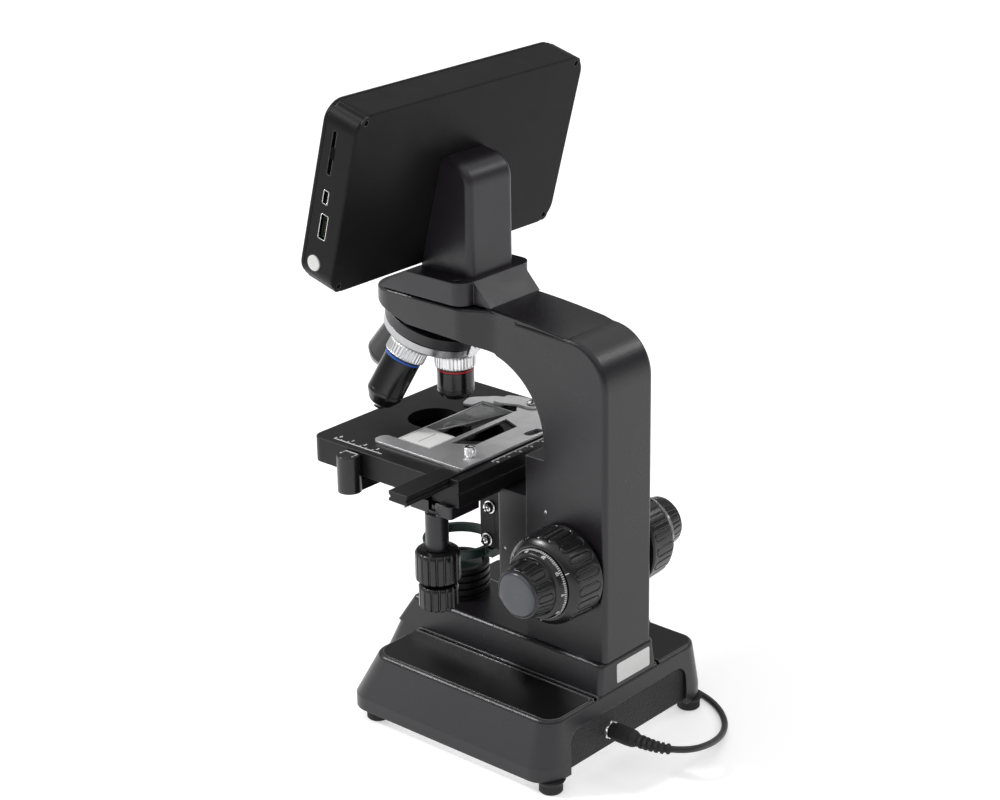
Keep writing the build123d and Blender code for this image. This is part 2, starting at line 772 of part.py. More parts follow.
def rack_tooth():
    """One rack tooth, pointing towards the pinion."""
    root_half = 1.2
    tip_half = 0.5
    Polygon((-0.2, -root_half), (2.6, -tip_half), (2.6, tip_half), (-0.2, root_half), align=None)


def make_stage_base():
    """Fixed plate of the stage that carries the condenser and the index post."""
    with BuildPart() as plate:
        with BuildSketch(level(BASE_PLATE_LOW, 0, (CARRIER_FRONT - 32) / 2)):
            Rectangle(76, CARRIER_FRONT + 32)
            with Locations((0, -(CARRIER_FRONT - 32) / 2)):
                Circle(CONDENSER_RADIUS + 0.3, mode=Mode.SUBTRACT)
        extrude(amount=BASE_PLATE_TOP - BASE_PLATE_LOW)
        fillet(plate.edges().filter_by(Axis.Z).group_by(Axis.Y)[0], 6)
    save(plate, "stage_base")

    post_x = 71.0
    post_ahead = -20.7
    post_radius = 7.2
    with BuildPart() as post:
        with BuildSketch(level(148.7, post_x, post_ahead)):
            Circle(post_radius)
            with Locations((-9.2, 0)):
                Rectangle(10.4, 20, mode=Mode.SUBTRACT)
        extrude(amount=171.7 - 148.7)
        fillet(post.edges().group_by(Axis.Z)[-1].filter_by(GeomType.CIRCLE), 0.6)
        with BuildSketch(level(148.7, (38 + post_x) / 2, post_ahead)):
            Rectangle(post_x - 38, 11)
        extrude(amount=BASE_PLATE_TOP - 148.7)
    save(post, "y_index_boss")


def make_condenser():
    """Condenser under the specimen, its top lens, hanger and filter ring."""
    with BuildPart() as body:
        with BuildSketch(Plane(origin=spot(0, 0), x_dir=(1, 0, 0), z_dir=(0, -1, 0))):
            with BuildLine():
                Polyline(
                    (9, 138),
                    (15, 138),
                    (CONDENSER_RADIUS, 140),
                    (CONDENSER_RADIUS, 148),
                    (CONDENSER_RADIUS + 1.5, 148),
                    (CONDENSER_RADIUS + 1.5, BASE_PLATE_LOW),
                    (CONDENSER_RADIUS, BASE_PLATE_LOW),
                    (CONDENSER_RADIUS, 152),
                    (12.5, 152),
                    (12.5, 167),
                    (9.2, 170),
                    (9.2, 170.8),
                    (7.7, 170.8),
                    (7.7, 166),
                    (6.5, 166),
                    (6.5, 154),
                    (9, 150),
                    (9, 138),
                )
            make_face()
        revolve(axis=Axis(spot(0, 0), (0, 0, 1)))
    save(body, "condenser")

    with BuildPart() as lens:
        with Locations(spot(0, 0, 166)):
            Cylinder(7.35, 5, align=(Align.CENTER, Align.CENTER, Align.MIN))
        fillet(lens.edges().group_by(Axis.Z)[-1], 1.4)
    save(lens, "condenser_lens")

    half = 1.5
    with BuildPart() as bracket:
        with BuildSketch(beside(-half)):
            with BuildLine():
                Polyline(
                    (19, BASE_PLATE_LOW),
                    (34, BASE_PLATE_LOW),
                    (34, 134),
                    (30, 124),
                    (30, FILTER_HIGH + 1.3),
                    (18.9, FILTER_HIGH + 1.3),
                    (18.9, 124),
                    (19, 133),
                    (19, BASE_PLATE_LOW),
                )
            make_face()
        extrude(amount=2 * half)
        fillet(bracket.edges().filter_by(Axis.X).group_by(Axis.Z)[0], 2.5)
    save(bracket, "filter_bracket")

    with BuildPart() as ring:
        with BuildSketch(level(FILTER_LOW)):
            Circle(FILTER_OUTER)
            with Locations((-half - 2, 24)):
                Rectangle(10, 8)
            Circle(FILTER_INNER, mode=Mode.SUBTRACT)
        extrude(amount=FILTER_HIGH - FILTER_LOW)
        with BuildSketch(level(FILTER_LOW, -half - 2, 24.75)):
            Rectangle(4, 6.5)
        extrude(amount=15.5)
    save(ring, "filter_ring")

    with BuildPart() as screws:
        for ahead, height in ((24.5, 105.8), (27.0, 127.7)):
            with BuildSketch(beside(half)):
                with Locations((ahead, height)):
                    Circle(4.2)
            extrude(amount=1)
            with BuildSketch(beside(half + 1)):
                with Locations((ahead, height)):
                    Circle(3.3)
            extrude(amount=3.2)
            with BuildSketch(beside(half + 4.2)):
                with Locations((ahead, height)):
                    Rectangle(4.4, 0.8)
                    Rectangle(0.8, 4.4)
            extrude(amount=-1.2, mode=Mode.SUBTRACT)
    save(screws, "stage_screws")


# ------------------------------------------------------------------ moving stage


def make_stage_plate():
    """Top plate of the stage: a shallow tray with a long light opening."""
    width = STAGE_RIGHT - STAGE_LEFT
    depth = STAGE_REAR - STAGE_FRONT
    mid_x = (STAGE_RIGHT + STAGE_LEFT) / 2
    mid = (STAGE_REAR + STAGE_FRONT) / 2
    with BuildPart() as plate:
        with BuildSketch(level(SKIRT_BOTTOM, mid_x, mid)):
            Rectangle(width, depth)
        extrude(amount=STAGE_TOP - SKIRT_BOTTOM)
        fillet(plate.edges().filter_by(Axis.Z).group_by(Axis.Y)[0], 7)
        fillet(plate.faces().sort_by(Axis.Z)[-1].edges().filter_by_position(
            Axis.Y, AXIS_Y + STAGE_FRONT - 1, AXIS_Y + STAGE_REAR - 1
        ), 0.6)
        with BuildSketch(level(SKIRT_BOTTOM, mid_x, mid + 2)):
            RectangleRounded(width - 8, depth - 4, 4)
        extrude(amount=STAGE_TOP - 6 - SKIRT_BOTTOM, mode=Mode.SUBTRACT)
        with BuildSketch(level(BASE_PLATE_TOP + 0.3, 0, mid + 2)):
            for x in (-29, 29):
                with Locations((x, 0)):
                    Rectangle(9, depth - 4)
        extrude(amount=STAGE_TOP - 6 - BASE_PLATE_TOP - 0.3)
        with BuildSketch(level(STAGE_TOP)):
            with Locations((0, -1.2)):
                SlotCenterToCenter(33.5, 33, rotation=90)
        extrude(amount=-20, mode=Mode.SUBTRACT)
    save(plate, "stage_plate")

    with BuildPart() as rail:
        with BuildSketch(beside(STAGE_LEFT + 0.5)):
            with BuildLine():
                Polyline(
                    (STAGE_REAR, BASE_PLATE_TOP + 0.5),
                    (RAIL_REAR, BASE_PLATE_TOP + 0.5),
                    (RAIL_REAR, 163.8),
                    (RAIL_REAR - 0.8, 163.8),
                    (RAIL_REAR - 0.8, 164.8),
                    (RAIL_REAR, 164.8),
                    (RAIL_REAR, 172.4),
                    (BAR_REAR + 0.3, 172.4),
                    (BAR_REAR + 0.3, 166.9),
                    (STAGE_REAR, 166.9),
                    (STAGE_REAR, BASE_PLATE_TOP + 0.5),
                )
            make_face()
        extrude(amount=STAGE_RIGHT - 4.5 - STAGE_LEFT - 0.5)
    save(rail, "x_rail")

    post_x, post_ahead = KNOB_POST
    with BuildPart() as bracket:
        with BuildSketch(level(148, 52.2, 36)):
            RectangleRounded(25, 35, 1.5)
        extrude(amount=BASE_PLATE_TOP + 0.5 - 148)
        with BuildSketch(level(125.5, post_x, post_ahead)):
            Circle(6.8)
        extrude(amount=148 - 125.5)
        with BuildSketch(level(125.5, post_x, post_ahead)):
            Circle(4.55)
        extrude(amount=40, mode=Mode.SUBTRACT)
    save(bracket, "drive_bracket")


def grip_knob(low, high, radius, grooves):
    """Round knob on the stage's drive post, with upright grip grooves."""
    post_x, post_ahead = KNOB_POST
    with BuildSketch(level(low, post_x, post_ahead)) as disc:
        Circle(radius)
        with PolarLocations(radius, grooves):
            Rectangle(1.2, 1.3, mode=Mode.SUBTRACT)
    extrude(disc.sketch, amount=high - low)


def make_drive_knobs():
    """Two coaxial knobs: the upper moves the plate, the lower moves the holder."""
    post_x, post_ahead = KNOB_POST
    with BuildPart() as upper:
        grip_knob(105.5, 125, 13.2, 18)
        with BuildSketch(level(105.5, post_x, post_ahead)):
            Circle(4.5)
        extrude(amount=45)
        with BuildSketch(level(105.5, post_x, post_ahead)):
            Circle(3.05)
        extrude(amount=50, mode=Mode.SUBTRACT)
    save(upper, "y_knob")

    with BuildPart() as lower:
        grip_knob(88.5, 103.5, 11.6, 16)
        with BuildSketch(level(103.5, post_x, post_ahead)):
            Circle(3)
        extrude(amount=50)
    save(lower, "x_knob")


def make_holder():
    """Specimen holder: grooved bar, bright plate, screws, finger and glass slide."""
    bar_left = -58.0
    bar_right = 97.5
    groove = 1.4
    middle = (166.9 + STAGE_TOP) / 2 + 0.2
    with BuildPart() as bar:
        with BuildSketch(beside(bar_left)):
            with BuildLine():
                Polyline(
                    (BAR_FRONT, 167.2),
                    (BAR_REAR, 167.2),
                    (BAR_REAR, middle - groove),
                    (BAR_REAR - groove, middle),
                    (BAR_REAR, middle + groove),
                    (BAR_REAR, HOLDER_LOW),
                    (BAR_FRONT, HOLDER_LOW),
                    (BAR_FRONT, middle + groove),
                    (BAR_FRONT + groove, middle),
                    (BAR_FRONT, middle - groove),
                    (BAR_FRONT, 167.2),
                )
            make_face()
        extrude(amount=bar_right - bar_left)
    save(bar, "x_bar")

    plate_low = HOLDER_LOW
    plate_top = HOLDER_LOW + 1.5
    pivot_x, pivot_ahead = FINGER_PIVOT
    with BuildPart() as plate:
        with BuildSketch(level(plate_low)):
            with BuildLine():
                FilletPolyline(
                    (51.6, -20.5),
                    (51.6, 50.4),
                    (-58.5, 50.4),
                    (-58.5, 11.5),
                    (-41, 11.5),
                    (-37, 15.4),
                    (40.8, 15.4),
                    (40.8, -20.5),
                    radius=[4.5, 2.5, 8, 8, 3, 1, 0, 4.5],
                    close=True,
                )
            make_face()
            with BuildLine():
                Polyline((27, 19), (-22.7, 19), (-17.7, 32.5), (19.4, 32.5), (27, 19))
            make_face(mode=Mode.SUBTRACT)
            with Locations((-17, 45.6)):
                SlotOverall(13, 6.4, rotation=-6, mode=Mode.SUBTRACT)
        extrude(amount=plate_top - plate_low)
    save(plate, "holder_plate")

    with BuildPart() as screws:
        for x, ahead in ((34, 41.5), (-40, 41.5)):
            with BuildSketch(level(plate_top, x, ahead)):
                Circle(2.9)
                with PolarLocations(2.95, 12):
                    Rectangle(0.5, 0.5, mode=Mode.SUBTRACT)
            extrude(amount=6)
        with Locations(spot(pivot_x, pivot_ahead, plate_top)):
            Cylinder(2.5, 1.9, align=(Align.CENTER, Align.CENTER, Align.MIN))
        with Locations(spot(pivot_x, pivot_ahead, plate_top + 1.9)):
            Cylinder(4.2, 1.8, align=(Align.CENTER, Align.CENTER, Align.MIN))
    save(screws, "holder_screws")

    step = plate_top + 0.2
    with BuildPart() as finger:
        with BuildSketch(level(plate_low + 0.2)):
            with BuildLine():
                FilletPolyline(
                    (pivot_x + 6.4, pivot_ahead + 6.4),
                    (pivot_x + 6.4, pivot_ahead - 5),
                    (-37.4, 2),
                    (-35.5, -11.3),
                    (-26.2, -12.6),
                    (-25, -18.2),
                    (-35, -22),
                    (-47.2, -10),
                    (-53.0, 4),
                    (pivot_x - 6.4, pivot_ahead),
                    (pivot_x - 6.4, pivot_ahead + 6.4),
                    radius=[5.5, 8, 12, 0.8, 1, 2.2, 6, 12, 14, 8, 5.5],
                    close=True,
                )
            make_face()
            with Locations((pivot_x, pivot_ahead)):
                Circle(2.57, mode=Mode.SUBTRACT)
        extrude(amount=step + 1.4 - plate_low - 0.2)
        with Locations(spot(pivot_x, 2 + 20, step)):
            Box(40, 40, 10, align=(Align.CENTER, Align.CENTER, Align.MAX), mode=Mode.SUBTRACT)
        with Locations(spot(pivot_x + 10, -3 - 20, step)):
            Box(60, 40, 10, align=(Align.CENTER, Align.CENTER, Align.MIN), mode=Mode.SUBTRACT)
    save(finger, "spring_finger")

    with BuildPart() as slide:
        with BuildSketch(level(STAGE_TOP + 0.2, 40.8 - SLIDE_LENGTH / 2, 15.4 - SLIDE_WIDTH / 2)):
            Rectangle(SLIDE_LENGTH, SLIDE_WIDTH)
        extrude(amount=SLIDE_THICK)
    save(slide, "specimen_slide")


# ------------------------------------------------------------------ head


def make_collar():
    """Eight-sided collar that turns in the nose, with a sloping rear wedge."""
    with BuildPart() as collar:
        with BuildSketch(beside(-NOSE_HALF_WIDTH)):
            with BuildLine():
                Polyline(
                    (-29, COLLAR_LOW),
                    (-29, COLLAR_LOW + 1.5),
                    (-9, COLLAR_HIGH),
                    (35.2, COLLAR_HIGH),
                    (35.2, COLLAR_LOW),
                    (-29, COLLAR_LOW),
                )
            make_face()
        extrude(amount=2 * NOSE_HALF_WIDTH)
        fillet(collar.edges().filter_by(Axis.Z).group_by(Axis.Y)[-1], 9)
        with BuildSketch(beside(-21.6)):
            with BuildLine():
                Polyline(
                    (20, COLLAR_LOW),
                    (48, COLLAR_LOW),
                    (35.2, COLLAR_HIGH),
                    (20, COLLAR_HIGH),
                    (20, COLLAR_LOW),
                )
            make_face()
        extrude(amount=43.2)
        with Locations(spot(0, 0, COLLAR_LOW)):
            Cylinder(21.7, 7, align=(Align.CENTER, Align.CENTER, Align.MAX))
        with Locations(spot(0, 0, COLLAR_HIGH)):
            Hole(12.2)
        with Locations(spot(26, 27, COLLAR_HIGH)):
            Hole(2.2, depth=3)
    save(collar, "head_collar")


def screen_line(z):
    """Distance of the monitor's leaning back face from the optical axis at a height."""
    return SCREEN_AHEAD + (z - SCREEN_Z) * tan(radians(LEAN))


def make_stem():
    """Hollow moulded stem between the collar and the monitor's back."""
    crown = 344.0
    back_crown = 340.5
    gap = 0.0
    with BuildPart() as stem:
        with BuildSketch(beside(-STEM_HALF_WIDTH)):
            with BuildLine():
                FilletPolyline(
                    (screen_line(COLLAR_HIGH), COLLAR_HIGH),
                    (STEM_BACK, COLLAR_HIGH),
                    (STEM_BACK, back_crown),
                    (screen_line(crown), crown),
                    radius=[0, 0, 14, 0],
                    close=True,
                )
            make_face()
        extrude(amount=2 * STEM_HALF_WIDTH)
        rounded = stem.edges().filter_by(
            lambda edge: abs(abs(edge.center().X) - STEM_HALF_WIDTH) < 0.01
            and edge.center().Y > AXIS_Y + 20
            and edge.center().Z > COLLAR_HIGH + 5
        )
        fillet(rounded, 4)
        with BuildSketch(beside(-STEM_HALF_WIDTH + 3)):
            with BuildLine():
                FilletPolyline(
                    (screen_line(COLLAR_HIGH), COLLAR_HIGH),
                    (STEM_BACK - 3, COLLAR_HIGH),
                    (STEM_BACK - 3, back_crown - 3),
                    (screen_line(crown - 3), crown - 3),
                    radius=[0, 0, 11, 0],
                    close=True,
                )
            make_face()
        extrude(amount=2 * STEM_HALF_WIDTH - 6, mode=Mode.SUBTRACT)
    save(stem, "stem")


def screen_plane(depth):
    """Plane of the monitor, this far in front of its back face; local Y runs up it."""
    lean = radians(LEAN)
    back = Vector(0, cos(lean), -sin(lean))
    return Plane(origin=spot(0, SCREEN_AHEAD, SCREEN_Z) - back * depth, x_dir=(-1, 0, 0), z_dir=back)


PORTS = {
    "card": (27.6, 14.6, 26.5, 2.8),
    "usb": (0.8, 13.8, 8.4, 4.2),
    "video": (-16.9, 12.2, 15.4, 5.8),
}
BUTTON_UP = -40.8
BUTTON_DEPTH = 14.6
BUTTON_RADIUS = 4.6


def port_plane(outward=0.0):
    """Plane on the monitor's right-hand edge; local X goes forward, local Y up the screen."""
    lean = radians(LEAN)
    up = Vector(0, sin(lean), cos(lean))
    forward = Vector(0, -cos(lean), sin(lean))
    return Plane(
        origin=spot(SCREEN_WIDTH / 2 + outward, SCREEN_AHEAD, SCREEN_Z),
        x_dir=-forward,
        z_dir=(-forward).cross(up),
    )


def make_monitor():
    """Monitor: hollow back shell, bezel, panel, board with its ports, and the button."""
    wall = 2.4
    with BuildPart() as shell:
        with BuildSketch(screen_plane(0)):
            RectangleRounded(SCREEN_WIDTH, SCREEN_HEIGHT, SCREEN_CORNER)
        extrude(amount=-BACK_DEPTH)
        fillet(shell.faces().sort_by(Axis(spot(0, 0), screen_plane(0).z_dir))[-1].edges(), 1.2)
        with BuildSketch(screen_plane(wall)):
            RectangleRounded(SCREEN_WIDTH - 2 * wall, SCREEN_HEIGHT - 2 * wall, SCREEN_CORNER - wall)
        extrude(amount=-BACK_DEPTH, mode=Mode.SUBTRACT)
        # screw wells in the four corners
        with BuildSketch(screen_plane(0)):
            with GridLocations(176, 101, 2, 2):
                Circle(3.6)
        extrude(amount=-BACK_DEPTH + 1)
        with BuildSketch(screen_plane(0)):
            with GridLocations(176, 101, 2, 2):
                Circle(1.7)
        extrude(amount=-6, mode=Mode.SUBTRACT)
        # cable opening behind the stem
        with BuildSketch(screen_plane(0)):
            with Locations((0, -30)):
                Rectangle(24, 30)
        extrude(amount=-wall - 1, mode=Mode.SUBTRACT)
        # ports and button
        with BuildSketch(port_plane(1)):
            for up, depth, length, height in PORTS.values():
                with Locations((-depth, up)):
                    RectangleRounded(height, length, 0.9)
            with Locations((-BUTTON_DEPTH, BUTTON_UP)):
                Circle(BUTTON_RADIUS + 0.3)
        extrude(amount=-wall - 2, mode=Mode.SUBTRACT)
    save(shell, "monitor_back")

    with BuildPart() as bezel:
        with BuildSketch(screen_plane(BACK_DEPTH)):
            RectangleRounded(SCREEN_WIDTH - 0.8, SCREEN_HEIGHT - 0.8, SCREEN_CORNER)
        extrude(amount=-BEZEL_DEPTH)
        fillet(bezel.faces().sort_by(Axis(spot(0, 0), screen_plane(0).z_dir))[0].edges(), 1.5)
        with BuildSketch(screen_plane(BACK_DEPTH)):
            RectangleRounded(156, 88, 1)
        extrude(amount=-BEZEL_DEPTH - 1, mode=Mode.SUBTRACT)
    save(bezel, "monitor_bezel")

    with BuildPart() as panel:
        with BuildSketch(screen_plane(BACK_DEPTH - 4)):
            Rectangle(166, 96)
        extrude(amount=-4)
        with BuildSketch(screen_plane(BACK_DEPTH)):
            RectangleRounded(155.6, 87.6, 1)
        extrude(amount=-BEZEL_DEPTH + 0.8)
    save(panel, "lcd_panel")

    board_depth = 10.0
    board_x = -(SCREEN_WIDTH / 2 - wall - 40.4)
    with BuildPart() as board:
        with BuildSketch(screen_plane(board_depth - 1.6)):
            with Locations((board_x, 0)):
                Rectangle(80, 72)
        extrude(amount=-1.6)
        with BuildSketch(screen_plane(wall)):
            with Locations((board_x, 0)):
                with GridLocations(66, 60, 2, 2):
                    Circle(2.5)
        extrude(amount=-(board_depth - 1.6 - wall))
        for up, depth, length, height in PORTS.values():
            reach = depth + height / 2 + 1.2 - board_depth
            with BuildSketch(port_plane(-wall - 0.2)):
                with Locations((-board_depth - reach / 2, up)):
                    Rectangle(reach, length + 1.6)
            extrude(amount=-12)
            with BuildSketch(port_plane(-wall - 0.2)):
                with Locations((-depth, up)):
                    Rectangle(height - 1.0, length - 1.0)
            extrude(amount=-9, mode=Mode.SUBTRACT)
    save(board, "main_board")

    with BuildPart() as button:
        with BuildSketch(port_plane(0.5)):
            with Locations((-BUTTON_DEPTH, BUTTON_UP)):
                Circle(BUTTON_RADIUS)
        extrude(amount=-4)
        fillet(button.edges().group_by(Axis.X)[-1], 0.4)
    save(button, "power_button")

    with BuildPart() as camera:
        with Locations(spot(0, 8, COLLAR_HIGH)):
            Box(26, 30, 1.6, align=(Align.CENTER, Align.CENTER, Align.MIN))
        with Locations(spot(0, 0, COLLAR_LOW)):
            Cylinder(11.8, COLLAR_HIGH - COLLAR_LOW, align=(Align.CENTER, Align.CENTER, Align.MIN))
            Cylinder(9, 9, align=(Align.CENTER, Align.CENTER, Align.MIN), mode=Mode.SUBTRACT)
    save(camera, "camera_module")


# ------------------------------------------------------------------ power lead

PLUG_START = PANEL_FACE + 3.6
PLUG_LENGTH = 17.0
CORD_ROUTE = [
    (16.5, 151.4, 20.3),
    (16.5, 162.8, 20.3),
    (10.8, 172.7, 19.2),
    (0.9, 178.2, 16.9),
    (-11.2, 177.8, 13.3),
    (-26.5, 174.6, 8.7),
    (-43.0, 169.0, 4.6),
    (-58.5, 160.0, 2.4),
    (-70.5, 147.0, 2.0),
    (-78.3, 131.0, 2.0),
    (-81.6, 110.0, 2.0),
    (-81.2, 86.0, 2.0),
    (-80.4, 62.0, 2.0),
    (-80.2, 38.0, 2.0),
]


def make_lead():
    """Power lead: plug with ribbed relief, free cord, coil and wall adapter."""
    jack = behind(PLUG_START)
    with BuildPart() as plug:
        with BuildSketch(jack):
            with Locations((-JACK_X, JACK_Z)):
                Circle(5.4)
        extrude(amount=PLUG_LENGTH)
        fillet(plug.edges().group_by(Axis.Y)[0], 1)
        fillet(plug.edges().group_by(Axis.Y)[-1], 1.2)
        with BuildSketch(jack):
            with Locations((-JACK_X, JACK_Z)):
                Circle(2.7)
                Circle(1.1, mode=Mode.SUBTRACT)
        extrude(amount=-8)
    save(plug, "dc_plug")

    points = [spot(*point) for point in CORD_ROUTE]
    turns = [
        (points[i + 1] - points[i]).get_angle(points[i + 2] - points[i + 1])
        for i in range(len(points) - 2)
    ]
    radii = [
        0.45
        * min((points[i + 1] - points[i]).length, (points[i + 2] - points[i + 1]).length)
        / tan(radians(turn) / 2)
        for i, turn in enumerate(turns)
    ]
    print("cord radii", [round(radius, 1) for radius in radii])
    with BuildPart() as cord:
        with BuildLine() as route:
            FilletPolyline(*points, radius=radii)
        with BuildSketch(Plane(origin=points[0], z_dir=points[1] - points[0])):
            Circle(CORD_DIAMETER / 2)
        sweep()
    length = sum(edge.length for edge in route.edges())
    print("cord tube length", round(length, 1), "volume ratio",
          round(cord.part.volume / (length * pi * (CORD_DIAMETER / 2) ** 2), 4))
    save(cord, "cord_tube")

    across = COIL_TURNS_WIDE * CORD_DIAMETER
    high = COIL_TURNS_HIGH * CORD_DIAMETER
    coil_x, coil_ahead = COIL_CENTRE
    with BuildPart() as coil:
        with BuildSketch(level(0, coil_x, coil_ahead)):
            Circle(COIL_MEAN_DIAMETER / 2 + across / 2)
            Circle(COIL_MEAN_DIAMETER / 2 - across / 2, mode=Mode.SUBTRACT)
        extrude(amount=high)
        fillet(coil.edges(), 1.4)
    save(coil, "cord_coil")

    outer_turn = COIL_MEAN_DIAMETER / 2 + across / 2 - CORD_DIAMETER / 2
    exit_x = coil_x + outer_turn
    with BuildPart() as adapter:
        with Locations(spot(-95.5, -39.5, 12)):
            Box(37, 59, 24)
        fillet(adapter.edges().filter_by(Axis.Y), 4)
        fillet(adapter.edges().group_by(Axis.Y)[-1], 1.5)
        for x in (-101.8, -89.2):
            with Locations(spot(x, -69 - 8, 12)):
                Box(1.5, 16, 6.3)
        with BuildSketch(Plane(origin=spot(exit_x, -10, 6), x_dir=(1, 0, 0), z_dir=(0, 1, 0))):
            Circle(3)
        extrude(amount=26, taper=1.2)
    save(adapter, "wall_adapter")


make_base_housing()
make_pads()
make_bottom()
make_rear_panel()
make_inlet()
make_lamp()
make_arm()
make_turret_seat()
make_turret()
make_objective("red", 27.5, 8.5, False)
make_objective("yellow", 37.0, 7.0, False)
make_objective("light_blue", 44.4, 6.5, True)
make_objective("dark_blue", 44.4, 6.5, True)
make_detent()
make_coarse()
make_fine()
make_carrier()
make_stage_base()
make_condenser()
make_stage_plate()
make_drive_knobs()
make_holder()
make_collar()
make_stem()
make_monitor()
make_lead()
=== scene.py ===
"""Looks of the LCD digital microscope: castings, optics, stage, knobs, monitor and power lead."""

import logging
import math
from collections.abc import Callable, Sequence
from dataclasses import dataclass, field, replace
from enum import Enum
from typing import ClassVar
from functools import cache

import bmesh
import bpy
from mathutils import Matrix, Vector


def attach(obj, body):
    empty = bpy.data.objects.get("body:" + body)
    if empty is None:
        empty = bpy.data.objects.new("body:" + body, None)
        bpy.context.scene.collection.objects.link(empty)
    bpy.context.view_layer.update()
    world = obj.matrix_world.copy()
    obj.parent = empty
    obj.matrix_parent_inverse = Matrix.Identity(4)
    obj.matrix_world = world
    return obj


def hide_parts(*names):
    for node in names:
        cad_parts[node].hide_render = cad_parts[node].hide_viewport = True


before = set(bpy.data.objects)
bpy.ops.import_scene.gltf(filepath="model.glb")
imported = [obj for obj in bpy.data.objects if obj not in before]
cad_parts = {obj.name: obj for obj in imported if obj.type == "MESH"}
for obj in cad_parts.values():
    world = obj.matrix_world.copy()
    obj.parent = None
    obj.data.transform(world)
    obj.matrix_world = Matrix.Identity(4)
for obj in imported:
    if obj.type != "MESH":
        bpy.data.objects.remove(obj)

log = logging.getLogger("microscope")

MM = 0.001
AXIS_Y = -34.1


# ------------------------------------------------------------------ places


def spot(x: float, ahead: float, z: float) -> Vector:
    """Turns a point given from the optical axis into the part's frame, in millimetres."""
    return Vector((x, AXIS_Y + ahead, z))


def plane(origin: Vector, across: Sequence[float], up: Sequence[float]) -> Matrix:
    """Makes the placement of a drawing plane.

    Args:
        origin: Where the plane's own zero lies, in millimetres.
        across: Direction of the plane's first axis.
        up: Direction of its second axis.

    Returns:
        The matrix from the plane's axes to the part's.
    """
    first = Vector(across).normalized()
    second = Vector(up).normalized()
    third = first.cross(second)
    turned = Matrix((first, second, third)).transposed().to_4x4()
    return Matrix.Translation(origin) @ turned


def level(height: float, x: float = 0.0, ahead: float = 0.0) -> Matrix:
    """Places a flat drawing at a height, its normal upwards."""
    return plane(spot(x, ahead, height), (1, 0, 0), (0, 1, 0))


def beside(x: float) -> Matrix:
    """Places an upright drawing that faces +X, drawn with ahead and height."""
    return plane(spot(x, 0, 0), (0, 1, 0), (0, 0, 1))


def behind(ahead: float) -> Matrix:
    """Places an upright drawing that faces +Y, drawn with -X and height."""
    return plane(spot(0, ahead, 0), (-1, 0, 0), (0, 0, 1))


def shaft(ahead: float, z: float, side: float) -> Matrix:
    """Places a turned shape whose axis is the focus shaft, its normal outwards on one side."""
    return plane(spot(0, ahead, z), (0, side, 0), (0, 0, 1))


def shifted(place: Matrix, across: float = 0.0, up: float = 0.0, out: float = 0.0) -> Matrix:
    """Moves a drawing plane along its own axes."""
    return place @ Matrix.Translation((across, up, out))


def rotation(degrees: float, axis: str = "Z") -> Matrix:
    """Turns a drawing about one of its own axes."""
    return Matrix.Rotation(math.radians(degrees), 4, axis)


def rectangle(
    low_u: float, low_v: float, high_u: float, high_v: float, radius: float = 0.0
) -> list[tuple[float, float, float]]:
    """Gives a rectangle's corners in order, each with the same rounding."""
    return [(low_u, low_v, radius), (high_u, low_v, radius), (high_u, high_v, radius), (low_u, high_v, radius)]


class Body(str, Enum):
    """The bodies that a piece may ride on."""

    BASE = "base"
    STAGE = "stage"
    PLATE = "plate"
    HOLDER = "holder"
    Y_DRIVE = "y_drive"
    X_DRIVE = "x_drive"
    COARSE = "coarse"
    FINE = "fine"
    NOSEPIECE = "nosepiece"
    LIGHT_TIP = "light_blue_tip"
    DARK_TIP = "dark_blue_tip"
    HEAD = "head"


# ------------------------------------------------------------------ shader wiring


class Wiring:
    """A shader node tree that is filled one node at a time."""

    def __init__(self, tree: bpy.types.NodeTree) -> None:
        """Keeps the tree."""
        self.tree = tree

    def add(self, kind: str, values: dict | None = None, **settings: object) -> bpy.types.Node:
        """Adds a node.

        Args:
            kind: The node's type name.
            values: Its inputs by name or number; a socket is linked, anything else is a constant.
            settings: Properties of the node itself.

        Returns:
            The new node.
        """
        node = self.tree.nodes.new(kind)
        for name, value in settings.items():
            setattr(node, name, value)
        for name, value in (values or {}).items():
            if isinstance(value, bpy.types.NodeSocket):
                self.tree.links.new(value, node.inputs[name])
            else:
                node.inputs[name].default_value = value
        return node

    def scaled(self, low: float, high: float, value: bpy.types.NodeSocket) -> bpy.types.NodeSocket:
        """Spreads a mask from 0..1 to a range, and returns the result's socket."""
        node = self.add("ShaderNodeMapRange", {"Value": value, "To Min": low, "To Max": high})
        return node.outputs["Result"]

    def tinted(
        self,
        mask: bpy.types.NodeSocket,
        first: tuple[float, ...] | bpy.types.NodeSocket,
        second: tuple[float, ...],
    ) -> bpy.types.NodeSocket:
        """Blends a colour or a colour socket into a second colour by a mask, and returns the result's socket."""
        ground = first if isinstance(first, bpy.types.NodeSocket) else (*first, 1.0)
        node = self.add("ShaderNodeMix", {0: mask, 6: ground, 7: (*second, 1.0)}, data_type="RGBA")
        return node.outputs[2]

    def effect(self, group: bpy.types.NodeTree, values: dict | None = None) -> bpy.types.Node:
        """Adds one of the shared effects, with its inputs by name."""
        return self.add("ShaderNodeGroup", values, node_tree=group)

    def surface(self, values: dict) -> None:
        """Ends a material's tree with a principled shader."""
        shader = self.add("ShaderNodeBsdfPrincipled", values)
        self.add("ShaderNodeOutputMaterial", {"Surface": shader.outputs[0]})


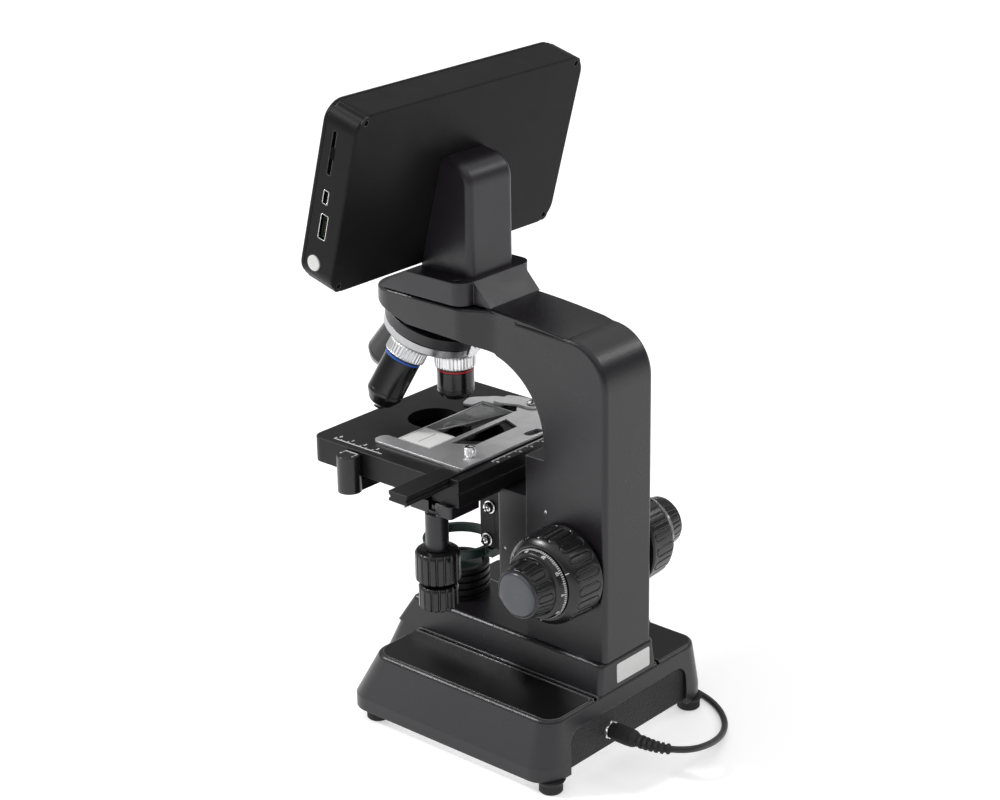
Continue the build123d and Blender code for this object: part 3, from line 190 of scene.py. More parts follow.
class Effects:
    """The surface effects that several finishes share, each built once as a node group."""

    BEND_START = 0.995
    BEND_FULL = 0.86
    BEVEL_SAMPLES = 4

    @staticmethod
    def _group(name: str, inputs: Sequence[tuple[str, float]], outputs: Sequence[tuple[str, str]]) -> Wiring:
        """Opens a new node group with named sockets."""
        tree = bpy.data.node_groups.new(name, "ShaderNodeTree")
        for label, value in inputs:
            socket = tree.interface.new_socket(label, in_out="INPUT", socket_type="NodeSocketFloat")
            socket.default_value = value
        for label, kind in outputs:
            tree.interface.new_socket(label, in_out="OUTPUT", socket_type=kind)
        return Wiring(tree)

    @cache
    def grain(self) -> bpy.types.NodeTree:
        """Cast or moulded grain: a height, and a slow mottle that runs over it."""
        wiring = self._group(
            "surface_grain",
            [("Scale", 2000.0), ("Mottle Scale", 60.0)],
            [("Height", "NodeSocketFloat"), ("Mottle", "NodeSocketFloat")],
        )
        start = wiring.add("NodeGroupInput")
        place = wiring.add("ShaderNodeTexCoord").outputs["Object"]
        fine = wiring.add(
            "ShaderNodeTexNoise", {"Vector": place, "Scale": start.outputs["Scale"], "Detail": 2.0, "Roughness": 0.6}
        )
        pits = wiring.add(
            "ShaderNodeTexVoronoi", {"Vector": place, "Scale": start.outputs["Scale"]}, feature="SMOOTH_F1"
        )
        height = wiring.add("ShaderNodeMath", {0: fine.outputs["Fac"], 1: pits.outputs["Distance"]}, operation="ADD")
        slow = wiring.add(
            "ShaderNodeTexNoise",
            {"Vector": place, "Scale": start.outputs["Mottle Scale"], "Detail": 4.0, "Roughness": 0.65},
        )
        wiring.add("NodeGroupOutput", {"Height": height.outputs[0], "Mottle": slow.outputs["Fac"]})
        return wiring.tree

    @cache
    def edges(self) -> bpy.types.NodeTree:
        """Eased edges: a rounded normal, and a mask of the edge with a broken outline, for edge wear and a painted
        highlight.
        """
        wiring = self._group(
            "eased_edges",
            [("Radius", 0.0006), ("Break Scale", 900.0)],
            [("Normal", "NodeSocketVector"), ("Wear And Highlight", "NodeSocketFloat")],
        )
        start = wiring.add("NodeGroupInput")
        eased = wiring.add("ShaderNodeBevel", {"Radius": start.outputs["Radius"]}, samples=self.BEVEL_SAMPLES)
        flat = wiring.add("ShaderNodeNewGeometry").outputs["Normal"]
        along = wiring.add("ShaderNodeVectorMath", {0: eased.outputs["Normal"], 1: flat}, operation="DOT_PRODUCT")
        bent = wiring.add(
            "ShaderNodeMapRange",
            {"Value": along.outputs["Value"], "From Min": self.BEND_START, "From Max": self.BEND_FULL},
        )
        place = wiring.add("ShaderNodeTexCoord").outputs["Object"]
        broken = wiring.add(
            "ShaderNodeTexNoise", {"Vector": place, "Scale": start.outputs["Break Scale"], "Detail": 3.0}
        )
        # Mask of the edges that are lightened in the colour: edge wear and a painted highlight
        wear_and_highlight = wiring.add("ShaderNodeMath", {0: bent.outputs["Result"], 1: broken.outputs["Fac"]}, operation="MULTIPLY")
        wiring.add("NodeGroupOutput", {"Normal": eased.outputs["Normal"], "Wear And Highlight": wear_and_highlight.outputs[0]})
        return wiring.tree

    @cache
    def dust(self) -> bpy.types.NodeTree:
        """Handling marks: soft clouds, for a roughness that isn't even."""
        wiring = self._group("handling", [("Scale", 25.0)], [("Mask", "NodeSocketFloat")])
        start = wiring.add("NodeGroupInput")
        place = wiring.add("ShaderNodeTexCoord").outputs["Object"]
        clouds = wiring.add(
            "ShaderNodeTexNoise",
            {"Vector": place, "Scale": start.outputs["Scale"], "Detail": 5.0, "Roughness": 0.7, "Distortion": 0.6},
        )
        clear = wiring.add("ShaderNodeMapRange", {"Value": clouds.outputs["Fac"], "From Min": 0.3, "From Max": 0.7})
        wiring.add("NodeGroupOutput", {"Mask": clear.outputs["Result"]})
        return wiring.tree

    @cache
    def brushing(self) -> bpy.types.NodeTree:
        """Turned or brushed metal: fine scratches drawn out along one axis."""
        wiring = self._group(
            "brushing",
            [("Scale X", 3000.0), ("Scale Y", 3000.0), ("Scale Z", 100.0)],
            [("Height", "NodeSocketFloat")],
        )
        start = wiring.add("NodeGroupInput")
        stretch = wiring.add("ShaderNodeCombineXYZ", dict(enumerate(start.outputs[:3])))
        place = wiring.add("ShaderNodeTexCoord").outputs["Object"]
        drawn = wiring.add("ShaderNodeVectorMath", {0: place, 1: stretch.outputs["Vector"]}, operation="MULTIPLY")
        lines = wiring.add("ShaderNodeTexNoise", {"Vector": drawn.outputs["Vector"], "Scale": 1.0, "Detail": 3.0})
        wiring.add("NodeGroupOutput", {"Height": lines.outputs["Fac"]})
        return wiring.tree


EFFECTS = Effects()


def open_material(name: str) -> tuple[bpy.types.Material, Wiring]:
    """Starts an empty node material.

    Args:
        name: The material's name.

    Returns:
        The material, and the wiring of its tree.
    """
    material = bpy.data.materials.new(name)
    material.use_nodes = True
    material.node_tree.nodes.clear()
    return material, Wiring(material.node_tree)


# ------------------------------------------------------------------ finishes

DARK_MOTTLE = 0.82
LIGHT_MOTTLE = 1.16
DULLED = 0.86
FILMED = 0.97
COAT_ROUGH = 0.12
METAL_MARKS = 90.0
GLASS_MARKS = 140.0
GLASS_FILM = 0.012
PRINT_GRAIN = 5000.0
PRINT_MOTTLE = 400.0
PRINT_SPREAD = 0.08
INK_THICKNESS = 0.00001


def toned(colour: tuple[float, float, float], factor: float) -> tuple[float, ...]:
    """Makes a colour lighter or darker."""
    return tuple(factor * part for part in colour)


@dataclass(frozen=True)
class Coating:
    """Paint, moulded plastic or rubber with grain, handling marks, and edges lightened by wear and a painted highlight.
    """

    name: str
    slot: str
    colour: tuple[float, float, float]
    rough: float = 0.5
    spread: float = 0.06
    grain: float = 2200.0
    depth: float = 0.00004
    edge: float = 0.0006
    wear_and_highlight: float = 0.35
    wear_and_highlight_colour: tuple[float, float, float] = (0.06, 0.06, 0.063)
    coat: float = 0.0
    specular: float = 0.5

    def material(self) -> bpy.types.Material:
        """Builds the material."""
        material, wiring = open_material(self.name)
        grain = wiring.effect(EFFECTS.grain(), {"Scale": self.grain})
        marks = wiring.effect(EFFECTS.dust())
        edges = wiring.effect(EFFECTS.edges(), {"Radius": self.edge})
        darker, lighter = toned(self.colour, DARK_MOTTLE), toned(self.colour, LIGHT_MOTTLE)
        ground = wiring.tinted(grain.outputs["Mottle"], darker, lighter)
        # Edges blend towards a lighter colour: partly wear, partly a painted highlight
        lightened_edge = wiring.add("ShaderNodeMath", {0: edges.outputs["Wear And Highlight"], 1: self.wear_and_highlight}, operation="MULTIPLY")
        colour = wiring.tinted(lightened_edge.outputs[0], ground, self.wear_and_highlight_colour)
        bump = wiring.add(
            "ShaderNodeBump",
            {"Height": grain.outputs["Height"], "Normal": edges.outputs["Normal"], "Distance": self.depth},
        )
        wiring.surface(
            {
                "Base Color": colour,
                "Roughness": wiring.scaled(self.rough - self.spread, self.rough + self.spread, marks.outputs["Mask"]),
                "Normal": bump.outputs["Normal"],
                "Coat Weight": self.coat,
                "Coat Roughness": COAT_ROUGH,
                "Specular IOR Level": self.specular,
            }
        )
        return material


@dataclass(frozen=True)
class Metal:
    """Bare or plated metal with drawn scratches and softly uneven polish."""

    name: str
    slot: str
    colour: tuple[float, float, float]
    rough: float = 0.25
    spread: float = 0.06
    stroke: tuple[float, float, float] = (2600.0, 2600.0, 120.0)
    depth: float = 0.000008
    edge: float = 0.0003

    def material(self) -> bpy.types.Material:
        """Builds the material."""
        material, wiring = open_material(self.name)
        strokes = wiring.effect(EFFECTS.brushing(), dict(enumerate(self.stroke)))
        marks = wiring.effect(EFFECTS.dust(), {"Scale": METAL_MARKS})
        edges = wiring.effect(EFFECTS.edges(), {"Radius": self.edge})
        tone = wiring.tinted(marks.outputs["Mask"], toned(self.colour, DULLED), self.colour)
        height = strokes.outputs["Height"]
        bump = wiring.add(
            "ShaderNodeBump", {"Height": height, "Normal": edges.outputs["Normal"], "Distance": self.depth}
        )
        wiring.surface(
            {
                "Base Color": tone,
                "Metallic": 1.0,
                "Roughness": wiring.scaled(self.rough - self.spread, self.rough + self.spread, height),
                "Normal": bump.outputs["Normal"],
            }
        )
        return material


@dataclass(frozen=True)
class Clear:
    """Glass or clear plastic with a faint film of handling marks."""

    name: str
    slot: str
    colour: tuple[float, float, float] = (0.97, 0.99, 0.98)
    rough: float = 0.0
    through: float = 1.0

    def material(self) -> bpy.types.Material:
        """Builds the material."""
        material, wiring = open_material(self.name)
        mask = wiring.effect(EFFECTS.dust(), {"Scale": GLASS_MARKS}).outputs["Mask"]
        wiring.surface(
            {
                "Base Color": wiring.tinted(mask, self.colour, toned(self.colour, FILMED)),
                "Roughness": wiring.scaled(self.rough, self.rough + GLASS_FILM, mask),
                "Transmission Weight": self.through,
                "IOR": 1.5,
            }
        )
        return material


@dataclass(frozen=True)
class Print:
    """Printed marks or a label face: an ink film that is a little uneven."""

    name: str
    slot: str
    colour: tuple[float, float, float]
    rough: float = 0.55

    def material(self) -> bpy.types.Material:
        """Builds the material."""
        material, wiring = open_material(self.name)
        grain = wiring.effect(EFFECTS.grain(), {"Scale": PRINT_GRAIN, "Mottle Scale": PRINT_MOTTLE})
        mottle = grain.outputs["Mottle"]
        bump = wiring.add("ShaderNodeBump", {"Height": grain.outputs["Height"], "Distance": INK_THICKNESS})
        wiring.surface(
            {
                "Base Color": wiring.tinted(mottle, toned(self.colour, DULLED), self.colour),
                "Roughness": wiring.scaled(self.rough - PRINT_SPREAD, self.rough + PRINT_SPREAD, mottle),
                "Normal": bump.outputs["Normal"],
            }
        )
        return material


Finish = Coating | Metal | Clear | Print


def colour_ring(name: str, colour: tuple[float, float, float]) -> Coating:
    """Makes the glossy finish of an objective's colour ring."""
    return Coating(f"ring_{name}", "objective_black", colour, rough=0.35, depth=0.000004, wear_and_highlight=0.0)


class Finishes:
    """Every finish of the instrument, and the materials made from them so far."""

    # Its pale edge colour is a painted highlight as well as wear
    CAST = Coating(
        "cast_black", "cast_black", (0.0124, 0.0106, 0.0136), rough=0.30, spread=0.04, depth=0.00006, grain=1500.0,
        edge=0.0009, wear_and_highlight=0.8, wear_and_highlight_colour=(0.22, 0.22, 0.225),
    )
    FAIRED = replace(CAST, name="faired_black", edge=0.00002, wear_and_highlight=0.0)
    # Its pale edge colour is a painted highlight as well as wear
    HEAD = Coating(
        "moulded_black", "moulded_black", (0.0165, 0.0140, 0.0185), rough=0.34, depth=0.00002, grain=3200.0,
        edge=0.0009, wear_and_highlight=0.8, wear_and_highlight_colour=(0.2, 0.2, 0.205),
    )
    # Lighter paint on the base's beads and the pads' rims: a painted highlight
    HIGHLIGHT_BEAD = Coating(
        "bead_highlight", "cast_black", (0.085, 0.084, 0.088), rough=0.24, depth=0.00002, edge=0.0002,
        wear_and_highlight_colour=(0.3, 0.3, 0.305), specular=0.8,
    )
    # Its very pale edge colour is a painted highlight as well as wear
    SHELL = Coating(
        "shell_black", "moulded_black", (0.0095, 0.0092, 0.0100), rough=0.38, depth=0.00002, grain=3200.0,
        edge=0.0007, wear_and_highlight=1.0, wear_and_highlight_colour=(0.42, 0.42, 0.425), specular=0.1,
    )
    # Its pale edge colour is a painted highlight as well as wear
    STAGE = Coating(
        "stage_black", "stage_black", (0.0085, 0.0080, 0.0090), rough=0.36, depth=0.00003, grain=3000.0, edge=0.0006,
        wear_and_highlight=0.8, wear_and_highlight_colour=(0.22, 0.22, 0.225), specular=0.22,
    )
    PAD = Coating(
        "pad_gloss", "pad_gloss", (0.0060, 0.0060, 0.0064), rough=0.30, spread=0.02, depth=0.000004, grain=2500.0,
        edge=0.0004, wear_and_highlight=0.0, specular=0.25,
    )
    SAND = Coating("panel_texture", "panel_texture", (0.014, 0.014, 0.015), rough=0.6, depth=0.0006, grain=900.0)
    BARREL = Coating(
        "objective_black", "objective_black", (0.006, 0.006, 0.0065), rough=0.20, depth=0.000004, edge=0.0003,
    )
    FINS = Coating(
        "lamp_black", "objective_black", (0.006, 0.006, 0.0065), rough=0.42, depth=0.00001, edge=0.0003,
        specular=0.25,
    )
    GRIP = Coating(
        "grip_black", "moulded_black", (0.0080, 0.0076, 0.0086), rough=0.26, depth=0.00002, grain=3500.0, edge=0.0003,
    )
    # Its blue-grey colour is a painted sheen on the glossy black cap
    CAP = Coating("cap_black", "moulded_black", (0.068, 0.071, 0.083), rough=0.26, depth=0.000006, grain=1800.0)
    RUBBER = Coating("rubber", "rubber", (0.010, 0.010, 0.010), rough=0.7, depth=0.00004, grain=2600.0, wear_and_highlight=0.1)
    LEAD = Coating(
        "cord_jacket", "cord", (0.010, 0.010, 0.0105), rough=0.42, depth=0.00002, grain=3000.0, edge=0.0002, wear_and_highlight=0.1,
    )
    CHROME = Metal("bright_metal", "bright_metal", (0.86, 0.86, 0.87), rough=0.16)
    SATIN = Metal(
        "satin_steel", "satin_steel", (0.90, 0.90, 0.91), rough=0.46, edge=0.0005, stroke=(120.0, 2600.0, 2600.0),
        depth=0.000004,
    )
    BRASS = Metal("brass", "brass", (0.75, 0.56, 0.27), rough=0.3)
    GREEN = Coating(
        "ring_green", "ring_green", (0.012, 0.035, 0.03), rough=0.3, depth=0.00001, wear_and_highlight_colour=(0.2, 0.26, 0.25),
    )
    BOARD = Coating("board_green", "electronics", (0.02, 0.09, 0.04), rough=0.4, depth=0.00002)
    SCREEN = Coating("screen_glass", "screen", (0.006, 0.006, 0.007), rough=0.08, spread=0.03, depth=0.0, wear_and_highlight=0.0)
    BUTTON = Coating("button_white", "button_white", (0.72, 0.72, 0.70), rough=0.4, depth=0.00001, wear_and_highlight=0.0)
    COLLAR = Metal(
        "collar_steel", "bright_metal", (0.86, 0.86, 0.87), rough=0.30, spread=0.02, depth=0.000002, edge=0.0001,
    )
    POLISHED = Metal("turned_chrome", "bright_metal", (0.42, 0.42, 0.43), rough=0.22, stroke=(300.0, 300.0, 3000.0))
    LENS = Coating("lens_green", "glass", (0.008, 0.020, 0.016), rough=0.06, spread=0.03, depth=0.0, wear_and_highlight=0.0, coat=1.0)
    COATED = Coating(
        "coated_glass", "glass", (0.012, 0.02, 0.035), rough=0.07, spread=0.03, depth=0.0, wear_and_highlight=0.0, coat=1.0,
    )
    # Black of the socket tongues and the shell's seam, and painted shade in the light opening, wells, channel floors,
    # screw slots, crosses and finger notch
    DARK = Coating("black_and_painted_shade", "moulded_black", (0.003, 0.003, 0.0032), rough=0.6, wear_and_highlight=0.0, specular=0.04)
    SCREW = Coating("screw_black", "moulded_black", (0.018, 0.018, 0.019), rough=0.32, depth=0.00001, edge=0.0002)
    RED = colour_ring("red", (0.55, 0.02, 0.03))
    YELLOW = colour_ring("yellow", (0.75, 0.48, 0.02))
    SKY = colour_ring("light_blue", (0.08, 0.35, 0.75))
    NAVY = colour_ring("dark_blue", (0.02, 0.12, 0.55))
    GLASS = Clear("glass", "glass")
    STRAP = Coating("strap_weave", "rubber", (0.014, 0.014, 0.015), rough=0.75, depth=0.0002, grain=1400.0, wear_and_highlight=0.0)
    WHITE = Print("white_print", "button_white", (0.93, 0.93, 0.93))
    LABEL = Print("label_white", "button_white", (0.94, 0.94, 0.93), rough=0.4)
    INK = Print("label_ink", "button_white", (0.10, 0.10, 0.11))
    GROUND = Print("ground_glass", "glass", (0.85, 0.88, 0.87))

    def __init__(self) -> None:
        """Starts with no material made."""
        self.made: dict[str, bpy.types.Material] = {}

    def of(self, finish: Finish) -> bpy.types.Material:
        """Returns the one material of a finish."""
        if finish.name not in self.made:
            self.made[finish.name] = finish.material()
        return self.made[finish.name]


FINISHES = Finishes()


# ------------------------------------------------------------------ forms

FLAT = 1e-5
MERGE = 1e-4
ON_AXIS = 1e-6
QUARTER = math.pi / 2


class Form:
    """A shape in millimetres, made with mesh operators and placed in the part's axes."""

    def __init__(self) -> None:
        """Starts empty."""
        self.mesh = bmesh.new()

    def take(self, part: bmesh.types.BMesh, place: Matrix) -> "Form":
        """Moves a finished shape, which is used up, into this form from its placed drawing axes."""
        bmesh.ops.transform(part, matrix=place, verts=part.verts)
        spare = bpy.data.meshes.new("spare")
        part.to_mesh(spare)
        part.free()
        self.mesh.from_mesh(spare)
        bpy.data.meshes.remove(spare)
        return self

    @staticmethod
    def pull(part: bmesh.types.BMesh, depth: float) -> None:
        """Pulls every face of a flat shape to a solid along its normal."""
        pulled = bmesh.ops.extrude_face_region(part, geom=list(part.faces), use_keep_orig=True)
        moved = [item for item in pulled["geom"] if isinstance(item, bmesh.types.BMVert)]
        bmesh.ops.translate(part, verts=moved, vec=(0, 0, depth))
        bmesh.ops.recalc_face_normals(part, faces=part.faces)

    @staticmethod
    def ease(
        part: bmesh.types.BMesh, edges: Sequence[bmesh.types.BMEdge], radius: float, steps: int = 3, clamp: bool = False
    ) -> None:
        """Rounds edges.

        Args:
            part: The shape that they belong to.
            edges: The edges.
            radius: Radius of the rounding.
            steps: Its segments.
            clamp: Whether it stops where two roundings meet.
        """
        bmesh.ops.bevel(
            part, geom=edges, offset=radius, offset_type="OFFSET", segments=steps, profile=0.5,
            affect="EDGES", material=-1, clamp_overlap=clamp,
        )

    @staticmethod
    def outline(part: bmesh.types.BMesh, corners: Sequence[Sequence[float]], steps: int = 6) -> None:
        """Draws one flat face and rounds its corners.

        Args:
            part: The shape that takes the face.
            corners: Points (u, v) or (u, v, radius), in order round the face.
            steps: Segments of a right-angled corner.
        """
        verts = [part.verts.new((corner[0], corner[1], 0.0)) for corner in corners]
        part.faces.new(verts)
        count = len(corners)
        rounding = []
        for index, corner in enumerate(corners):
            if len(corner) < 3 or corner[2] <= 0:
                continue
            here = verts[index].co
            back = (verts[index - 1].co - here).normalized()
            onward = (verts[(index + 1) % count].co - here).normalized()
            inside = back.angle(onward)
            reach = corner[2] / math.tan(inside / 2)
            bends = max(2, round(steps * (math.pi - inside) / QUARTER))
            rounding.append((verts[index], reach, bends))
        for vert, reach, bends in rounding:
            bmesh.ops.bevel(
                part, geom=[vert], offset=reach, offset_type="OFFSET", segments=bends, profile=0.5,
                affect="VERTICES", material=-1, clamp_overlap=False,
            )

    def prism(
        self, corners: Sequence[Sequence[float]], place: Matrix, depth: float, ease: float = 0.0
    ) -> "Form":
        """Pulls an outline along its plane's normal and eases the rims of both ends.

        Args:
            corners: The outline, as for outline().
            place: The drawing plane.
            depth: How far it is pulled, negative for the other way.
            ease: Radius of the rims, 0 to leave them sharp.

        Returns:
            This form.
        """
        part = bmesh.new()
        self.outline(part, corners)
        self.pull(part, depth)
        if ease > 0:
            rims = [
                edge
                for edge in part.edges
                if any(all(abs(vert.co.z - height) < FLAT for vert in edge.verts) for height in (0.0, depth))
            ]
            self.ease(part, rims, ease)
        return self.take(part, place)

    def lathe(
        self,
        corners: Sequence[Sequence[float]],
        place: Matrix,
        steps: int = 64,
        round_steps: int = 4,
        shape: Callable[[bmesh.types.BMesh], None] | None = None,
    ) -> "Form":
        """Spins a half section about the drawing's normal.

        Args:
            corners: Points (radius, height) or (radius, height, rounding) round the half section.
            place: The plane square to the axis at height 0.
            steps: Segments of the full turn.
            round_steps: Segments of a rounded right-angled corner.
            shape: Changes the spun shape before it is placed.

        Returns:
            This form.
        """
        part = bmesh.new()
        self.outline(part, corners, round_steps)
        for vert in part.verts:
            vert.co = Vector((vert.co.x, 0.0, vert.co.y))
        bmesh.ops.delete(part, geom=list(part.faces), context="FACES_ONLY")
        axial = [edge for edge in part.edges if all(abs(vert.co.x) < ON_AXIS for vert in edge.verts)]
        bmesh.ops.delete(part, geom=axial, context="EDGES")
        bmesh.ops.spin(
            part, geom=list(part.verts) + list(part.edges), cent=(0, 0, 0), axis=(0, 0, 1),
            dvec=(0, 0, 0), angle=2 * math.pi, steps=steps, use_merge=True,
        )
        bmesh.ops.remove_doubles(part, verts=part.verts, dist=MERGE)
        bmesh.ops.recalc_face_normals(part, faces=part.faces)
        if shape:
            shape(part)
        return self.take(part, place)

    def frame(
        self, corners: Sequence[Sequence[float]], place: Matrix, depth: float, wall: float, steps: int = 6
    ) -> "Form":
        """Pulls a hollow outline along its plane's normal.

        Args:
            corners: The outer outline, as for outline().
            place: The drawing plane.
            depth: How far it is pulled, negative for the other way.
            wall: Thickness of the wall, measured inwards.
            steps: Segments of a right-angled corner.

        Returns:
            This form.
        """
        part = bmesh.new()
        self.outline(part, corners, steps)
        inner = list(part.faces)
        bmesh.ops.inset_region(part, faces=inner, thickness=wall, use_boundary=True, use_even_offset=True)
        bmesh.ops.delete(part, geom=inner, context="FACES")
        self.pull(part, depth)
        return self.take(part, place)

    def tube(self, stations: Sequence[tuple[Matrix, float]], sides: int) -> None:
        """Draws a closed round bar through a row of placed rings.

        Args:
            stations: Placement and radius of each ring, in order.
            sides: Segments of a ring.
        """
        part = bmesh.new()
        place, radius = stations[0]
        bmesh.ops.create_circle(part, cap_ends=False, segments=sides, radius=1.0)
        bmesh.ops.transform(part, matrix=place @ Matrix.Scale(radius, 4), verts=part.verts)
        edges = list(part.edges)
        for next_place, next_radius in stations[1:]:
            pulled = bmesh.ops.extrude_edge_only(part, edges=edges)["geom"]
            edges = [item for item in pulled if isinstance(item, bmesh.types.BMEdge)]
            verts = [item for item in pulled if isinstance(item, bmesh.types.BMVert)]
            step = next_place @ Matrix.Scale(next_radius / radius, 4) @ place.inverted()
            bmesh.ops.transform(part, matrix=step, verts=verts)
            place, radius = next_place, next_radius
        bmesh.ops.holes_fill(part, edges=part.edges)
        bmesh.ops.recalc_face_normals(part, faces=part.faces)
        self.take(part, Matrix.Identity(4))

    def block(self, low: Sequence[float], high: Sequence[float], ease: float = 0.0) -> "Form":
        """Adds a box between two points given from the optical axis, with eased edges."""
        part = bmesh.new()
        bmesh.ops.create_cube(part, size=1.0)
        size = Vector(high) - Vector(low)
        middle = (Vector(high) + Vector(low)) / 2
        bmesh.ops.scale(part, vec=size, verts=part.verts)
        if ease > 0:
            self.ease(part, list(part.edges), ease, clamp=True)
        return self.take(part, Matrix.Translation(spot(*middle)))

    def text(self, words: str, size: float, place: Matrix, thick: float) -> None:
        """Adds centred figures as thin raised shapes in a drawing plane."""
        curve = bpy.data.curves.new("figures", "FONT")
        curve.body = words
        curve.size = size
        curve.extrude = thick
        curve.align_x = "CENTER"
        curve.align_y = "CENTER"
        curve.resolution_u = 2
        curve.offset = 0.03 * size
        holder = bpy.data.objects.new("figures", curve)
        mesh = bpy.data.meshes.new_from_object(holder)
        part = bmesh.new()
        part.from_mesh(mesh)
        bpy.data.objects.remove(holder)
        bpy.data.curves.remove(curve)
        bpy.data.meshes.remove(mesh)
        self.take(part, place)

    def piece(
        self, name: str, body: Body, finish: Finish, *stands_for: str, smooth: float = 38.0
    ) -> bpy.types.Object:
        """Turns the form into a piece of the instrument.

        Args:
            name: The piece's name.
            body: The body that it rides on.
            finish: What it is made of.
            stands_for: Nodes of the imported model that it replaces.
            smooth: Edges bent by more than this many degrees stay sharp.

        Returns:
            The new object.
        """
        bmesh.ops.scale(self.mesh, vec=(MM, MM, MM), verts=self.mesh.verts)
        mesh = bpy.data.meshes.new(name)
        self.mesh.to_mesh(mesh)
        self.mesh.free()
        mesh.polygons.foreach_set("use_smooth", [True] * len(mesh.polygons))
        mesh.set_sharp_from_angle(angle=math.radians(smooth))
        mesh.materials.append(FINISHES.of(finish))
        made = bpy.data.objects.new(name, mesh)
        bpy.context.scene.collection.objects.link(made)
        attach(made, body.value)
        if stands_for:
            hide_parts(*stands_for)
        log.info("%s: %d faces on %s", name, len(mesh.polygons), body.value)
        return made


def dress(finish: Finish, *nodes: str) -> None:
    """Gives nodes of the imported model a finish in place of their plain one."""
    for node in nodes:
        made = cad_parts[node]
        if not made.material_slots:
            made.data.materials.append(None)
        for slot in made.material_slots:
            slot.material = FINISHES.of(finish)
        log.info("%s: finished as %s", node, finish.name)


# ------------------------------------------------------------------ grips and marks


def off_centre(vert: bmesh.types.BMVert, count: int) -> float:
    """Angle of a vertex from the nearest of several places spaced equally round a turn."""
    pitch = 2 * math.pi / count
    return (math.atan2(vert.co.y, vert.co.x) + pitch / 2) % pitch - pitch / 2


def draw_in(vert: bmesh.types.BMVert, cut: float) -> None:
    """Moves a vertex towards the turned shape's axis."""
    radius = math.hypot(vert.co.x, vert.co.y)
    vert.co.x *= (radius - cut) / radius
    vert.co.y *= (radius - cut) / radius


@dataclass(frozen=True)
class Ovals:
    """A ring of oval outlines engraved round a grip."""

    count: int
    low: float
    high: float
    width: float
    line: float = 0.62
    depth: float = 0.75
    inside: float = 8.0

    def cut(self, part: bmesh.types.BMesh) -> None:
        """Engraves the outlines into the turned shape."""
        half = self.width / 2
        for vert in part.verts:
            radius = math.hypot(vert.co.x, vert.co.y)
            if radius < self.inside or not self.low - 1 < vert.co.z < self.high + 1:
                continue
            round_off = off_centre(vert, self.count) * radius
            along = min(max(vert.co.z, self.low + half), self.high - half)
            away = abs(math.hypot(vert.co.z - along, round_off) - half)
            if away < self.line:
                draw_in(vert, self.depth * (0.5 + 0.5 * math.cos(math.pi * away / self.line)))


@dataclass(frozen=True)
class Flutes:
    """Straight grooves round a grip, along its axis."""

    count: int
    low: float
    high: float
    width: float
    depth: float
    inside: float

    def cut(self, part: bmesh.types.BMesh) -> None:
        """Presses the grooves into the turned shape."""
        for vert in part.verts:
            radius = math.hypot(vert.co.x, vert.co.y)
            if radius < self.inside or not self.low <= vert.co.z <= self.high:
                continue
            off = abs(off_centre(vert, self.count) * radius) / (self.width / 2)
            if off < 1:
                draw_in(vert, self.depth * math.sqrt(1 - off * off))


@dataclass
class Scale:
    """Printed division marks and figures on a face or round a turned ring."""

    thick: float = 0.05
    form: Form = field(default_factory=Form)

    def mark(self, place: Matrix, across: float, along: float) -> None:
        """Prints one bar, centred in a plane."""
        part = bmesh.new()
        bmesh.ops.create_cube(part, size=1.0)
        bmesh.ops.scale(part, vec=(across, along, self.thick), verts=part.verts)
        self.form.take(part, place)

    def ruler(
        self, place: Matrix, count: int, pitch: float, lengths: tuple[float, float, float], width: float
    ) -> None:
        """Prints a straight scale along the plane's first axis.

        Args:
            place: The plane, its zero at the first division.
            count: Number of divisions.
            pitch: Distance between two of them.
            lengths: Length of a plain, a fifth and a tenth division, along the second axis.
            width: Width of a bar.
        """
        span = count * pitch
        self.mark(shifted(place, span / 2), span + width, width)
        for index in range(count + 1):
            reach = lengths[2] if index % 10 == 0 else lengths[1] if index % 5 == 0 else lengths[0]
            self.mark(shifted(place, index * pitch, reach / 2), width, reach)

    def figures(self, place: Matrix, digits: str, pitch: float, size: float, lift: float) -> None:
        """Prints a row of figures along the plane's first axis."""
        for index, digit in enumerate(digits):
            self.form.text(digit, size, shifted(place, index * pitch, lift), self.thick / 2)


# ------------------------------------------------------------------ focus drive

FIGURES = 10


